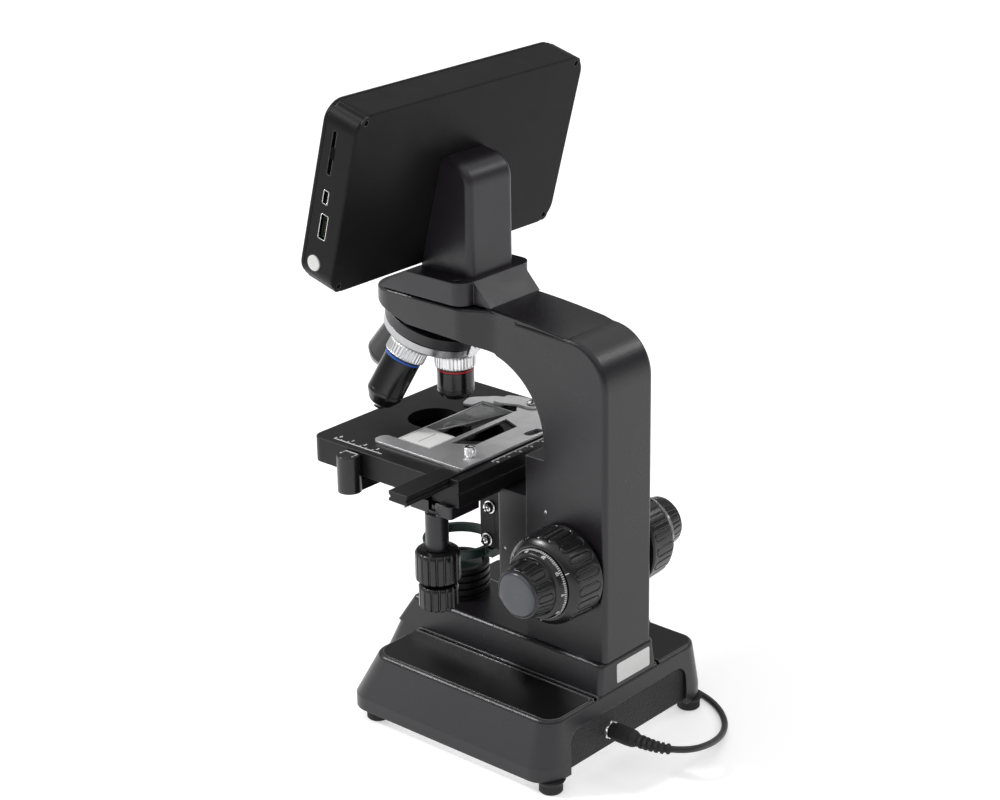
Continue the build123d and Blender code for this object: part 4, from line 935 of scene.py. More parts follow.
@dataclass
class FocusDrive:
    """Coarse and fine knobs on both sides of the column."""

    ahead: float = 104.5
    height: float = 117.7
    coarse_inner: float = 23.5
    coarse_outer: float = 47.0
    coarse_radius: float = 27.5
    coarse_end: float = 22.4
    coarse_bend: float = 41.0
    rim_radius: float = 26.7
    fine_inner: float = 47.4
    skirt: float = 5.0
    skirt_radius: float = 21.0
    skirt_end: float = 19.7
    grip_radius: float = 17.2
    fine_end: float = 68.0
    divisions: int = 100
    cell: float = 0.34

    def coarse_line(self, along: float) -> float:
        """Radius of the coarse knob at a distance from the column's middle."""
        straight = min(along, self.coarse_bend) - self.coarse_inner - 1
        turned_in = max(0.0, along - self.coarse_bend) / (self.coarse_outer - self.coarse_bend)
        return self.coarse_radius - 0.05 * straight - (self.rim_radius - self.coarse_end) * turned_in**2.2

    def coarse(self, side: int, name: str) -> None:
        """Turns one coarse knob, with its engraved ovals and its index lines."""
        place = shaft(self.ahead, self.height, side)
        rows = int((self.coarse_outer - 0.4 - self.coarse_inner - 1) / self.cell)
        rim = [
            (self.coarse_line(along), along)
            for along in (self.coarse_inner + 1 + self.cell * row for row in range(rows + 1))
        ]
        section = [
            (6.3, self.coarse_inner), (26.4, self.coarse_inner), (27.2, self.coarse_inner + 0.35), *rim,
            (self.coarse_end, self.coarse_outer), (self.coarse_end - 1.0, self.coarse_outer),
            (self.coarse_end - 1.3, self.coarse_outer - 0.6), (6.3, self.coarse_outer - 0.6),
        ]
        ovals = Ovals(count=18, low=26.2, high=43.4, width=5.4, inside=20.0)
        form = Form().lathe(section, place, steps=500, shape=ovals.cut)
        form.piece(f"coarse_grip_{name}", Body.COARSE, Finishes.GRIP, f"coarse_knob_{name}", smooth=60)
        scale = Scale()
        for turn in (30, 150, 270):
            out = Matrix.Translation((self.coarse_end + 0.62, 0, self.coarse_outer - 0.32))
            scale.mark(place @ rotation(turn) @ out @ rotation(35, "Y"), 2.4, 0.42)
        scale.form.piece(f"coarse_index_{name}", Body.COARSE, Finishes.WHITE)

    def fine(self, side: int, name: str) -> None:
        """Turns one fine knob with its graduated skirt, oval grips and cap."""
        place = shaft(self.ahead, self.height, side)
        start = self.fine_inner + self.skirt
        end = self.fine_end
        grip_end = end - 1.9
        rows = int((grip_end - start) / self.cell)
        slope = (self.grip_radius - 14.9) / (grip_end - start)
        grip = [(self.grip_radius - slope * self.cell * row, start + self.cell * row) for row in range(1, rows + 1)]
        section = [
            (4.3, self.fine_inner), (self.skirt_radius - 0.5, self.fine_inner),
            (self.skirt_radius, self.fine_inner + 0.3), (self.skirt_end, start - 0.25),
            (self.skirt_end - 0.4, start), (self.grip_radius + 0.2, start), *grip,
            (14.6, grip_end + 0.2), (13.4, grip_end + 0.5), (13.4, end - 2.6), (0.0, end - 2.6),
            (0.0, end - 4.2), (4.3, end - 4.2),
        ]
        ovals = Ovals(
            count=14, low=start + 1.9, high=grip_end - 0.8, width=4.2, line=0.55, depth=0.6, inside=13.6
        )
        form = Form().lathe(section, place, steps=336, shape=ovals.cut)
        form.piece(f"fine_grip_{name}", Body.FINE, Finishes.GRIP, f"fine_knob_{name}", smooth=60)
        cap = Form().lathe(
            [
                (0, end - 2.5), (13.2, end - 2.5), (13.2, end - 1.3), (12.6, end - 0.5), (11.4, end - 0.12),
                (7, end - 0.02), (0, end),
            ],
            place, steps=96,
        )
        cap.piece(f"fine_cap_{name}", Body.FINE, Finishes.CAP, smooth=60)
        self.dial(place, name)

    def dial(self, place: Matrix, name: str) -> None:
        """Prints the skirt's divisions and figures."""
        scale = Scale()
        for index in range(self.divisions):
            reach = 2.4 if index % 10 == 0 else 2.0 if index % 5 == 0 else 1.6
            on = self.on_skirt(index / self.divisions, 0.45 + reach / 2, 0.02)
            scale.mark(place @ on, reach, 0.5)
        for figure in range(FIGURES):
            on = self.on_skirt(figure / FIGURES, 3.5, 0.01)
            scale.form.text(str(figure * 10), 2.5, place @ on @ rotation(90), 0.03)
        scale.form.piece(f"fine_dial_{name}", Body.FINE, Finishes.WHITE)

    def on_skirt(self, share: float, along: float, proud: float) -> Matrix:
        """Places a mark on the sloping skirt.

        Args:
            share: Its place round the skirt, as a share of a turn.
            along: Its distance from the skirt's inner end.
            proud: How far it stands over the surface.

        Returns:
            The mark's plane in the knob's axes.
        """
        lean = math.atan2(self.skirt_radius - self.skirt_end, self.skirt)
        radius = self.skirt_radius - math.tan(lean) * (along - 0.3)
        out = Matrix.Translation((radius + proud, 0, self.fine_inner + along))
        return Matrix.Rotation(2 * math.pi * share, 4, "Z") @ out @ Matrix.Rotation(QUARTER - lean, 4, "Y")

    def build(self) -> None:
        """Builds the knobs of both sides."""
        for side, name in ((-1, "left"), (1, "right")):
            self.coarse(side, name)
            self.fine(side, name)


# ------------------------------------------------------------------ nosepiece


@dataclass(frozen=True)
class Objective:
    """One objective: its direction, size and colour ring."""

    name: str
    out: tuple[float, float, float]
    length: float
    nose: float
    ring: Coating
    tip: Body | None = None
    turret_height: ClassVar[float] = 275.3
    shoulder_reach: ClassVar[float] = 55.3

    def place(self) -> Matrix:
        """Plane square to the objective at its shoulder, its normal down the barrel."""
        out = Vector(self.out).normalized()
        origin = spot(0, 0, self.turret_height) + out * self.shoulder_reach
        first = (Vector((1, 0, 0)) - out * out.x).normalized()
        return plane(origin, first, out.cross(first))

    def build(self) -> None:
        """Turns the barrel, the fluted collar, the colour ring and the front lens."""
        place = self.place()
        end = self.length
        front = end - 3.0 if self.tip else end
        shoulder = end - 9.5 if self.tip else end - 3.5
        hole = 4.6 if self.tip else 3.2
        barrel = Form().lathe(
            [
                (6.5, -4.4), (9.9, -4.4), (9.9, 8.3), (11.0, 8.4, 0.2), (11.0, 9.3), (10.7, 9.4), (10.7, 10.7),
                (11.1, 10.8), (11.1, shoulder - 2.4), (10.9, shoulder - 2.2), (11.1, shoulder - 2.0),
                (11.1, shoulder, 0.5), (self.nose + 0.9, front - 0.8, 0.5), (self.nose, front, 0.3), (hole, front),
                (hole, front - 6), (6.5, front - 7),
            ],
            place, steps=96, round_steps=3,
        )
        barrel.piece(f"barrel_{self.name}", Body.NOSEPIECE, Finishes.BARREL, f"objective_{self.name}", smooth=35)
        flutes = Flutes(count=36, low=1.4, high=7.6, width=1.35, depth=0.55, inside=11.0)
        collar = Form().lathe(
            [(9.9, 0.05), (11.5, 0.05), (12.1, 0.7), (12.4, 1.5), (12.4, 2.1)]
            + [(12.4, 2.1 + 0.9 * row) for row in range(1, 6)]
            + [(12.4, 7.3), (12.2, 8.0), (11.4, 8.45), (9.9, 8.45)],
            place, steps=360, shape=flutes.cut,
        )
        collar.piece(f"collar_{self.name}", Body.NOSEPIECE, Finishes.COLLAR, smooth=35)
        band = [(10.6, 9.45), (11.14, 9.45, 0.12), (11.14, 10.65, 0.12), (10.6, 10.65)]
        Form().lathe(band, place, steps=96).piece(f"colour_ring_{self.name}", Body.NOSEPIECE, self.ring)
        if self.tip:
            self.spring_tip(place)
            return
        lens = [(0, front - 5), (hole - 0.05, front - 5), (hole - 0.05, front - 1.4), (0, front - 0.7)]
        Form().lathe(lens, place, steps=48).piece(f"front_lens_{self.name}", Body.NOSEPIECE, Finishes.COATED)

    def spring_tip(self, place: Matrix) -> None:
        """Turns the sprung bright tip of a long objective, and the lens in it."""
        end = self.length
        tip = Form().lathe(
            [
                (0, end - 11.4), (4.43, end - 11.4), (4.43, end - 2.2, 0.3), (3.6, end - 0.8, 0.4), (2.9, end, 0.3),
                (1.9, end), (1.6, end - 0.5), (0, end - 0.5),
            ],
            place, steps=64,
        )
        tip.piece(f"spring_tip_{self.name}", self.tip, Finishes.CHROME, f"objective_{self.name}_tip", smooth=30)
        lens = [(0, end - 0.49), (1.58, end - 0.49), (1.3, end - 0.2), (0, end - 0.08)]
        Form().lathe(lens, place, steps=32).piece(f"front_lens_{self.name}", self.tip, Finishes.COATED)


@dataclass
class Nosepiece:
    """The four objectives on the turning dish."""

    objectives: tuple[Objective, ...] = ()

    def build(self) -> None:
        """Builds every objective."""
        for objective in self.objectives:
            objective.build()
        dress(Finishes.POLISHED, "turret")


# ------------------------------------------------------------------ stage


@dataclass
class StageKnobs:
    """Two coaxial fluted knobs on the stage's drive post."""

    x: float = 61.0
    ahead: float = 39.0

    def knob(
        self,
        name: str,
        body: Body,
        low: float,
        high: float,
        radius: float,
        count: int,
        stem: tuple[float, float, float],
    ) -> None:
        """Turns one knob and the sleeve above it.

        Args:
            name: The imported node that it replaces.
            body: The body that it rides on.
            low: Height of its underside.
            high: Height of its top face.
            radius: Its greatest radius.
            count: Number of grooves.
            stem: Bore radius, outer radius and top of the sleeve.
        """
        bore, sleeve, top = stem
        ease = 1.6
        rows = [low + ease + (high - low - 1.9 * ease) * step / 6 for step in range(7)]
        section = [
            (bore, low), (radius - ease - 1.2, low), (radius - ease, low + 0.25), *((radius, row) for row in rows),
            (radius - 0.9, high - 0.25), (radius - 1.4, high), (sleeve + 1.6, high), (sleeve + 1.4, high - 0.5),
            (sleeve, high - 0.5), (sleeve, top), (bore, top),
        ]
        flutes = Flutes(count, low=low - 1, high=high - 0.6, width=1.7, depth=1.0, inside=radius - 3.4)
        form = Form().lathe(section, level(0, self.x, self.ahead), steps=count * 16, shape=flutes.cut)
        form.piece(f"fluted_{name}", body, Finishes.GRIP, name, smooth=40)

    def build(self) -> None:
        """Turns both knobs."""
        self.knob("y_knob", Body.Y_DRIVE, low=105.5, high=125.0, radius=13.2, count=18, stem=(3.05, 4.5, 150.5))
        self.knob("x_knob", Body.X_DRIVE, low=88.5, high=103.5, radius=11.6, count=16, stem=(0.0, 3.0, 153.5))


@dataclass
class StageTop:
    """Printed scales, the specimen slide with its label, and the holder's screws."""

    top: float = 173.0
    rail_top: float = 172.4
    holder_top: float = 174.8
    slide_top: float = 174.3
    slide_low: tuple[float, float] = (-35.2, -10.6)
    slide_high: tuple[float, float] = (40.8, 15.4)
    pivot: tuple[float, float] = (-49.0, 18.0)

    def scales(self) -> None:
        """Prints the scales of both directions and the small vernier."""
        along = Scale()
        edge = plane(spot(61.4, -42.0, self.top), (0, 1, 0), (-1, 0, 0))
        along.ruler(edge, count=38, pitch=1.0, lengths=(0.9, 1.5, 2.3), width=0.5)
        along.figures(shifted(edge, 1.5), "0123", pitch=10.0, size=3.2, lift=4.2)
        rail = plane(spot(28.0, 52.2, self.rail_top), (-1, 0, 0), (0, 1, 0))
        along.ruler(rail, count=80, pitch=1.0, lengths=(0.8, 1.2, 2.0), width=0.5)
        along.figures(shifted(rail, 1.8), "01234567", pitch=10.0, size=2.6, lift=3.3)
        along.form.piece("stage_scales", Body.PLATE, Finishes.WHITE)
        post = Scale()
        vernier = plane(spot(68.0, -25.6, 171.7), (0, 1, 0), (1, 0, 0))
        post.ruler(vernier, count=10, pitch=0.95, lengths=(0.9, 1.4, 2.6), width=0.45)
        post.figures(vernier, "01", pitch=9.5, size=2.4, lift=4.2)
        post.form.piece("vernier", Body.STAGE, Finishes.WHITE)

    def slide(self) -> None:
        """Cuts the glass slide with its ground edges and its ruled paper label."""
        outer = rectangle(*self.slide_low, *self.slide_high, radius=0.8)
        glass = Form().prism(outer, level(self.slide_top - 1.05), depth=1.0, ease=0.12)
        glass.piece("glass_slide", Body.HOLDER, Finishes.GLASS, "specimen_slide")
        label = Form().prism(rectangle(17.2, -9.8, 40.2, 14.6, 0.6), level(self.slide_top), depth=0.12)
        label.piece("slide_label", Body.HOLDER, Finishes.LABEL)
        rules = Scale()
        rules.form.frame(rectangle(17.8, -9.2, 39.6, 14.0, 0.3), level(self.slide_top + 0.1), depth=0.04, wall=0.22)
        rules.mark(level(self.slide_top + 0.13, 28.7, 2.4), 15.0, 0.4)
        rules.form.piece("label_rules", Body.HOLDER, Finishes.INK)
        edge = Form().frame(
            rectangle(-35.22, -10.62, 40.82, 15.42, 0.8), level(self.slide_top - 0.95), depth=0.97, wall=0.55
        )
        edge.piece("ground_edges", Body.HOLDER, Finishes.GROUND)

    def opening(self) -> None:
        """Lines the light opening in black as painted shade, and turns the condenser's top lens and its ring."""
        hole = rectangle(-17.3, -35.2, 17.3, 32.8, radius=17.2)
        lining = Form().frame(hole, level(158.0), depth=9.0, wall=0.75, steps=12)
        lining.piece("opening_lining", Body.PLATE, Finishes.DARK)
        lens = Form().lathe(
            [(0, 166), (7.3, 166), (7.3, 170.2, 0.4), (6.4, 170.75, 0.6), (4, 170.95), (0, 171.0)], level(0)
        )
        lens.piece("condenser_glass", Body.STAGE, Finishes.LENS, "condenser_lens")
        ring = Form().lathe([(7.36, 169.8), (7.75, 169.8), (7.75, 170.9, 0.15), (7.36, 170.9, 0.1)], level(0))
        ring.piece("condenser_ring", Body.STAGE, Finishes.CHROME)

    def screws(self) -> None:
        """Turns the knurled holder screws and the finger's pivot screw."""
        form = Form()
        low = self.holder_top
        flutes = Flutes(count=14, low=low + 1.1, high=low + 5.2, width=0.8, depth=0.4, inside=2.9)
        for x, ahead in ((34.0, 41.5), (-40.0, 41.5)):
            form.lathe(
                [(0, low), (2.6, low), (2.6, low + 0.6), (3.2, low + 0.8), (3.6, low + 1.3)]
                + [(3.6, low + 1.3 + 0.5 * row) for row in range(1, 8)]
                + [(3.4, low + 5.5), (2.9, low + 5.95), (1.5, low + 6.0), (1.3, low + 5.5), (0, low + 5.5)],
                level(0, x, ahead), steps=168, shape=flutes.cut,
            )
        form.lathe(
            [
                (0, low), (2.5, low), (2.5, low + 1.9), (4.1, low + 1.95, 0.2), (4.1, low + 2.9, 0.4),
                (2.4, low + 3.7, 0.5), (0, low + 3.7),
            ],
            level(0, *self.pivot),
        )
        form.piece("holder_fasteners", Body.HOLDER, Finishes.CHROME, "holder_screws", smooth=35)
        # The screw's slot is a black bar on its head: painted shade
        slot = Scale(thick=0.3)
        slot.mark(level(low + 3.66, *self.pivot) @ rotation(28), 5.4, 0.8)
        slot.form.piece("pivot_slot", Body.HOLDER, Finishes.DARK)

    def bracket_screws(self) -> None:
        """Turns the cross-head screws of the filter ring's bracket."""
        form = Form()
        # The cross recesses are black bars on the heads: painted shade
        crosses = Scale(thick=0.9)
        for ahead, height in ((24.5, 105.8), (27.0, 127.7)):
            place = plane(spot(1.5, ahead, height), (0, 1, 0), (0, 0, 1))
            form.lathe([(1.4, 0), (4.2, 0, 0.2), (4.2, 0.95, 0.3), (1.4, 0.95)], place)
            form.lathe([(0, 0.9), (3.3, 0.9), (3.3, 2.2, 0.4), (2.9, 3.4, 0.9), (1.6, 4.15, 0.9), (0, 4.2)], place)
            for turn in (20, 110):
                crosses.mark(shifted(place, out=3.86) @ rotation(turn), 3.9, 0.75)
        form.piece("bracket_fasteners", Body.STAGE, Finishes.CHROME, "stage_screws", smooth=35)
        crosses.form.piece("bracket_crosses", Body.STAGE, Finishes.DARK)

    def build(self) -> None:
        """Dresses the top of the stage."""
        self.scales()
        self.slide()
        self.opening()
        self.screws()
        self.bracket_screws()


# ------------------------------------------------------------------ small parts


@dataclass
class SmallParts:
    """Label plate, screws, linings, beads lighter as a painted highlight, wells of painted shade and other small parts
    of the base, arm, stage and monitor.
    """

    lean: float = 15.1
    width: float = 190.4
    height: float = 110.1
    screen_ahead: float = 7.35
    screen_z: float = 330.85
    saddle_half: float = 21.53
    channel: tuple[float, float] = (27.95, 30.45)
    small_socket: tuple[float, float] = (0.8, 13.8)
    wide_socket: tuple[float, float] = (-16.9, 12.2)
    card_slot: tuple[float, float] = (27.6, 14.6)

    def port_place(self) -> Matrix:
        """Plane on the monitor's right-hand edge: its first axis runs to the back, its second up."""
        lean = math.radians(self.lean)
        back = (0, math.cos(lean), -math.sin(lean))
        up = (0, math.sin(lean), math.cos(lean))
        return plane(spot(self.width / 2, self.screen_ahead, self.screen_z), back, up)

    def back_place(self) -> Matrix:
        """Plane on the middle of the monitor's back: its first axis runs to the left, its second up."""
        lean = math.radians(self.lean)
        return plane(
            spot(0, self.screen_ahead, self.screen_z), (-1, 0, 0), (0, math.sin(lean), math.cos(lean))
        )

    def label(self) -> None:
        """Sticks the blank label on the back of the plinth."""
        place = plane(spot(0, 132.56, 0), (-1, 0, 0), (0, -0.0210, 1.0))
        form = Form().prism(rectangle(-10.5, 48.0, 20.0, 60.2, 1.2), place, 0.14, ease=0.05)
        form.piece("blank_label", Body.BASE, Finishes.LABEL)

    def guide_screws(self) -> None:
        """Sets the small bright screws in the column's and carrier's side."""
        for name, body, x, ahead, height, radius in (
            ("guide_screw_column", Body.BASE, 21.5, 87.0, 148.0, 1.35),
            ("guide_screw_carrier", Body.STAGE, 21.5, 55.5, 116.0, 1.15),
        ):
            form = Form().lathe(
                [
                    (0.0, -1.6), (radius, -1.6), (radius, -0.5, 0.15), (radius * 0.62, -0.35),
                    (radius * 0.5, -1.0), (0.0, -1.1),
                ],
                shifted(beside(x), ahead, height), steps=24,
            )
            form.piece(name, body, Finishes.CHROME, smooth=30)

    def ports(self) -> None:
        """Lines the two sockets with bright shells, tongues and contacts."""
        place = self.port_place()
        shells = Form()
        tongues = Form()
        contacts = Form()
        for (up, depth), length, height, pins in ((self.small_socket, 8.4, 4.2, 5), (self.wide_socket, 15.4, 5.8, 9)):
            low, high = up - length / 2 + 0.08, up + length / 2 - 0.08
            back, front = -depth + height / 2 - 0.08, -depth - height / 2 + 0.08
            shells.frame(rectangle(front, low, back, high, 0.8), shifted(place, out=0.06), -2.4, wall=0.26, steps=3)
            middle = -depth + 0.2
            tongue = rectangle(middle - 0.6, low + 1.3, middle + 0.6, high - 1.3)
            tongues.prism(tongue, shifted(place, out=-0.7), -3.6)
            for pin in range(pins):
                at = up + (pin - (pins - 1) / 2) * (length - 3.4) / pins
                pad = rectangle(middle + 0.5, at - 0.24, middle + 0.68, at + 0.24)
                contacts.prism(pad, shifted(place, out=-0.75), -3.2)
        shells.piece("socket_shells", Body.HEAD, Finishes.CHROME)
        tongues.piece("socket_tongues", Body.HEAD, Finishes.DARK)
        contacts.piece("socket_contacts", Body.HEAD, Finishes.BRASS)

    def corner_screws(self) -> None:
        """Sets the dark screws in the monitor's four corners."""
        form = Form()
        for x in (-88.0, 88.0):
            for up in (-50.5, 50.5):
                form.lathe(
                    [(0, -3.4), (1.55, -3.4), (1.55, -1.3, 0.3), (0.8, -0.9), (0.55, -1.5), (0, -1.6)],
                    shifted(self.back_place(), x, up), steps=24,
                )
        form.piece("corner_screws", Body.HEAD, Finishes.SCREW, smooth=30)

    def saddle(self) -> None:
        """Fairs the arm's top into the nose behind the head's wedge, with rounded sides and a tapered rear end."""
        half = self.saddle_half
        crown = 257.05
        taper_from = AXIS_Y + 102
        outline = [
            (44, 255), (106.4, 255), (106.4, 257.11), (97, 258.28), (87, 259.44), (77, 260.48), (66, 261.45),
            (57, 262.04), (49.5, 262.46), (44, 262.6),
        ]
        form = Form().prism(outline, beside(-half), 2 * half)
        rims = [
            edge for edge in form.mesh.edges
            if all(abs(abs(vert.co.x) - half) < 0.01 for vert in edge.verts)
            and min(vert.co.z for vert in edge.verts) > crown and abs(edge.verts[0].co.y - edge.verts[1].co.y) > 5
        ]
        form.ease(form.mesh, rims, 1.6, steps=6)
        for vert in form.mesh.verts:
            if vert.co.y > taper_from:
                vert.co.x *= 0.93
                vert.co.z -= 0.3
        form.piece("arm_saddle", Body.BASE, Finishes.FAIRED, smooth=30)

    def rack(self) -> None:
        """Hangs the short toothed rack under the free end of the grooved bar."""
        form = Form()
        form.block((92.0, 39.4, 165.6), (97.0, 48.2, 167.25), 0.2)
        for tooth in range(6):
            form.block((91.4 + 0.95 * tooth, 39.6, 164.7), (91.8 + 0.95 * tooth, 48.0, 165.7), 0.08)
        form.piece("bar_rack", Body.HOLDER, Finishes.CHROME)

    def seam(self) -> None:
        """Marks the parting line between the monitor's shell and its bezel."""
        half, tall = self.width / 2 + 0.04, self.height / 2 + 0.04
        outer = rectangle(-half, -tall, half, tall, radius=12.1)
        form = Form().frame(outer, shifted(self.back_place(), out=-22.25), depth=0.5, wall=0.8, steps=10)
        form.piece("shell_seam", Body.HEAD, Finishes.DARK)

    def wells(self) -> None:
        """Backs the card slot and both sockets with black wells as painted shade, and paints shade on the slot's finger
        notch.
        """
        place = self.port_place()
        form = Form()
        for (up, depth), length, height, inward in (
            (self.card_slot, 26.3, 2.6, 2.3), (self.small_socket, 7.0, 2.9, 4.6), (self.wide_socket, 14.0, 4.4, 4.6),
        ):
            well = rectangle(-depth - height / 2, up - length / 2, -depth + height / 2, up + length / 2)
            form.prism(well, shifted(place, out=-inward), -0.5)
        form.prism(rectangle(-15.9, 24.0, -12.4, 31.2, 0.8), shifted(place, out=-0.35), 0.36)
        form.piece("port_wells", Body.HEAD, Finishes.DARK)

    def ribs(self) -> None:
        """Lays the beads along each channel of the base and the pads' rims, both lighter as a painted highlight, and
        the channels' floors in black as painted shade.
        """
        form = Form()
        floors = Form()
        rims = Form()
        for side in (-1, 1):
            for inner, outer, high in ((27.05, 27.9, 46.35), (30.5, 31.35, 46.15)):
                low_x, high_x = sorted((side * inner, side * outer))
                form.block((low_x, -9.2, 45.0), (high_x, 130.6, high), 0.32)
            low_x, high_x = sorted(side * edge for edge in self.channel)
            floors.block((low_x, -8.6, 43.6), (high_x, 130.0, 44.7))
            inner, outer = side * 31.45, side * 67.75
            corners = [(inner, -8.85, 3.4), (outer, -8.85, 12.4), (outer, 130.05, 9.4), (inner, 130.05, 3.4)]
            rims.frame(corners, level(45.42), depth=0.3, wall=0.45)
        form.piece("channel_beads", Body.BASE, Finishes.HIGHLIGHT_BEAD, smooth=60)
        floors.piece("channel_floors", Body.BASE, Finishes.DARK)
        rims.piece("pad_rims", Body.BASE, Finishes.HIGHLIGHT_BEAD, smooth=60)

    def web(self) -> None:
        """Joins the filter ring's bracket to the focus carrier."""
        web = Form().block((-1.4, 26.0, 101.2), (1.4, 50.8, 149.8), 0.2)
        web.piece("bracket_web", Body.STAGE, Finishes.STAGE)

    def build(self) -> None:
        """Adds every small part."""
        self.ribs()
        self.web()
        self.saddle()
        self.rack()
        self.seam()
        self.wells()
        self.label()
        self.guide_screws()
        self.ports()
        self.corner_screws()


# ------------------------------------------------------------------ view


@dataclass
class Studio:
    """Pale floor, plain soft lamps and the camera."""

    place: tuple[float, float, float] = (0.9809, 0.8729, 0.709)
    turn: float = 49.2477
    drop: float = 21.4050
    roll: float = 0.5840
    lens: float = 86.64
    shift: tuple[float, float] = (-0.0349, 0.0045)
    aim: tuple[float, float, float] = (0, 0, 0.15)
    sensor: float = 36.0
    sight_end: float = 50.0
    floor_half: float = 9.0
    floor_grey: float = 0.8
    floor_glow: float = 0.42
    room: tuple[tuple[float, float], ...] = ((0.0, 0.75), (0.2, 0.22), (0.42, 0.14), (0.62, 0.95), (1.0, 1.0))

    def camera(self) -> None:
        """Stands the camera behind the instrument, on its right-hand side."""
        turn, drop, roll = (math.radians(value) for value in (self.turn, self.drop, self.roll))
        sight = Vector((-math.cos(drop) * math.sin(turn), -math.cos(drop) * math.cos(turn), -math.sin(drop)))
        right = sight.cross(Vector((0, 0, 1))).normalized()
        down = -right.cross(sight)
        tilted_right = right * math.cos(roll) + down * math.sin(roll)
        tilted_down = -right * math.sin(roll) + down * math.cos(roll)
        data = bpy.data.cameras.new("camera")
        data.sensor_width = self.sensor
        data.lens = self.lens
        data.shift_x, data.shift_y = self.shift
        data.clip_end = self.sight_end
        made = bpy.data.objects.new("camera", data)
        turned = Matrix((tilted_right, -tilted_down, -sight)).transposed().to_4x4()
        made.matrix_world = Matrix.Translation(self.place) @ turned
        bpy.context.scene.collection.objects.link(made)
        bpy.context.scene.camera = made

    def floor(self) -> None:
        """Lays a wide pale floor that keeps the instrument's soft shadow."""
        part = bmesh.new()
        bmesh.ops.create_grid(part, x_segments=2, y_segments=2, size=self.floor_half)
        mesh = bpy.data.meshes.new("floor")
        part.to_mesh(mesh)
        part.free()
        made = bpy.data.objects.new("floor", mesh)
        bpy.context.scene.collection.objects.link(made)
        material, wiring = open_material("floor_pale")
        ray = wiring.add("ShaderNodeLightPath")
        seen = wiring.add(
            "ShaderNodeMath", {0: ray.outputs["Is Camera Ray"], 1: ray.outputs["Is Transmission Ray"]}, operation="ADD"
        )
        shown = wiring.add(
            "ShaderNodeMath", {0: seen.outputs[0], 1: ray.outputs["Is Glossy Ray"]}, operation="ADD", use_clamp=True
        )
        grey = self.floor_grey
        plain = wiring.add("ShaderNodeBsdfDiffuse", {"Color": (grey, grey, grey, 1.0)})
        lit = wiring.add("ShaderNodeEmission", {"Color": (1, 1, 1, 1), "Strength": self.floor_glow})
        both = wiring.add("ShaderNodeAddShader", {0: plain.outputs[0], 1: lit.outputs[0]})
        mixed = wiring.add("ShaderNodeMixShader", {0: shown.outputs[0], 1: plain.outputs[0], 2: both.outputs[0]})
        wiring.add("ShaderNodeOutputMaterial", {"Surface": mixed.outputs[0]})
        mesh.materials.append(material)

    def world(self) -> None:
        """Puts a soft grey room all round: pale below and at eye level, darker above, bright overhead."""
        world = bpy.data.worlds.new("room")
        bpy.context.scene.world = world
        world.use_nodes = True
        world.node_tree.nodes.clear()
        wiring = Wiring(world.node_tree)
        sky = wiring.add("ShaderNodeTexCoord").outputs["Generated"]
        parts = wiring.add("ShaderNodeSeparateXYZ", {0: sky})
        ramp = wiring.add("ShaderNodeValToRGB", {0: parts.outputs["Z"]})
        for _ in self.room[2:]:
            ramp.color_ramp.elements.new(0.5)
        for element, (rise, grey) in zip(ramp.color_ramp.elements, self.room):
            element.position = rise
            element.color = (grey, grey, grey, 1.0)
        room = wiring.add("ShaderNodeBackground", {"Color": ramp.outputs["Color"], "Strength": 1.0})
        wiring.add("ShaderNodeOutputWorld", {"Surface": room.outputs[0]})

    def lamp(self, name: str, place: tuple[float, float, float], size: float, power: float) -> None:
        """Hangs one soft square lamp that faces the instrument.

        Args:
            name: The lamp's name.
            place: Where it hangs, in metres.
            size: Length of its sides in metres.
            power: Its power in watts.
        """
        data = bpy.data.lights.new(name, "AREA")
        data.shape = "SQUARE"
        data.size = size
        data.energy = power
        made = bpy.data.objects.new(name, data)
        away = Vector(place) - Vector(self.aim)
        made.matrix_world = Matrix.Translation(place) @ away.to_track_quat("Z", "Y").to_matrix().to_4x4()
        bpy.context.scene.collection.objects.link(made)

    def build(self) -> None:
        """Sets the whole view."""
        scene = bpy.context.scene
        scene.view_settings.view_transform = "Standard"
        self.camera()
        self.floor()
        self.world()
        self.lamp("key", (0.95, -1.2, 1.45), size=0.3, power=22.0)
        self.lamp("fill", (-1.35, 0.75, 1.2), size=0.25, power=2.6)


# ------------------------------------------------------------------ power inlet


@dataclass
class PowerInlet:
    """Hexagon nut and threaded sleeve round the power inlet."""

    x: float = 16.5
    height: float = 20.3
    face: float = 130.8
    thread: float = 4.0
    bore: float = 2.8
    nut: float = 6.2

    def build(self) -> None:
        """Cuts the nut's flats and its turned crown, and the sleeve's thread."""
        place = shifted(behind(self.face), -self.x, self.height)
        inner = self.thread + 0.32
        form = Form().lathe(
            [(inner, 0.02), (6.15, 0.02), (6.15, 1.7), (5.2, 2.4, 0.2), (self.thread + 0.6, 2.4), (inner, 2.1)],
            place, steps=144, shape=self.flats,
        )
        form.piece("inlet_nut", Body.BASE, Finishes.CHROME, "dc_jack_nut", smooth=25)
        sleeve = Form()
        crests = []
        for turn in range(5):
            along = 0.3 + 0.72 * turn
            crests += [(self.thread - 0.28, along), (self.thread, along + 0.3)]
        sleeve.lathe(
            [
                (self.bore, -2.4), (self.thread, -2.4), *crests, (self.thread - 0.3, 3.58),
                (self.bore + 0.15, 3.58), (self.bore, 3.4),
            ],
            place, steps=48,
        )
        sleeve.lathe([(0, -8.5), (0.95, -8.5), (0.95, 0.3), (0.7, 0.6, 0.2), (0, 0.6)], place, steps=24)
        sleeve.piece("inlet_sleeve", Body.BASE, Finishes.CHROME, smooth=25)

    def flats(self, part: bmesh.types.BMesh) -> None:
        """Presses six flats into the turned nut."""
        flat = self.nut * math.cos(math.radians(30))
        for vert in part.verts:
            radius = math.hypot(vert.co.x, vert.co.y)
            if radius > self.thread + 0.9:
                limit = flat / math.cos(off_centre(vert, 6))
                if radius > limit:
                    draw_in(vert, radius - limit)


# ------------------------------------------------------------------ power lead


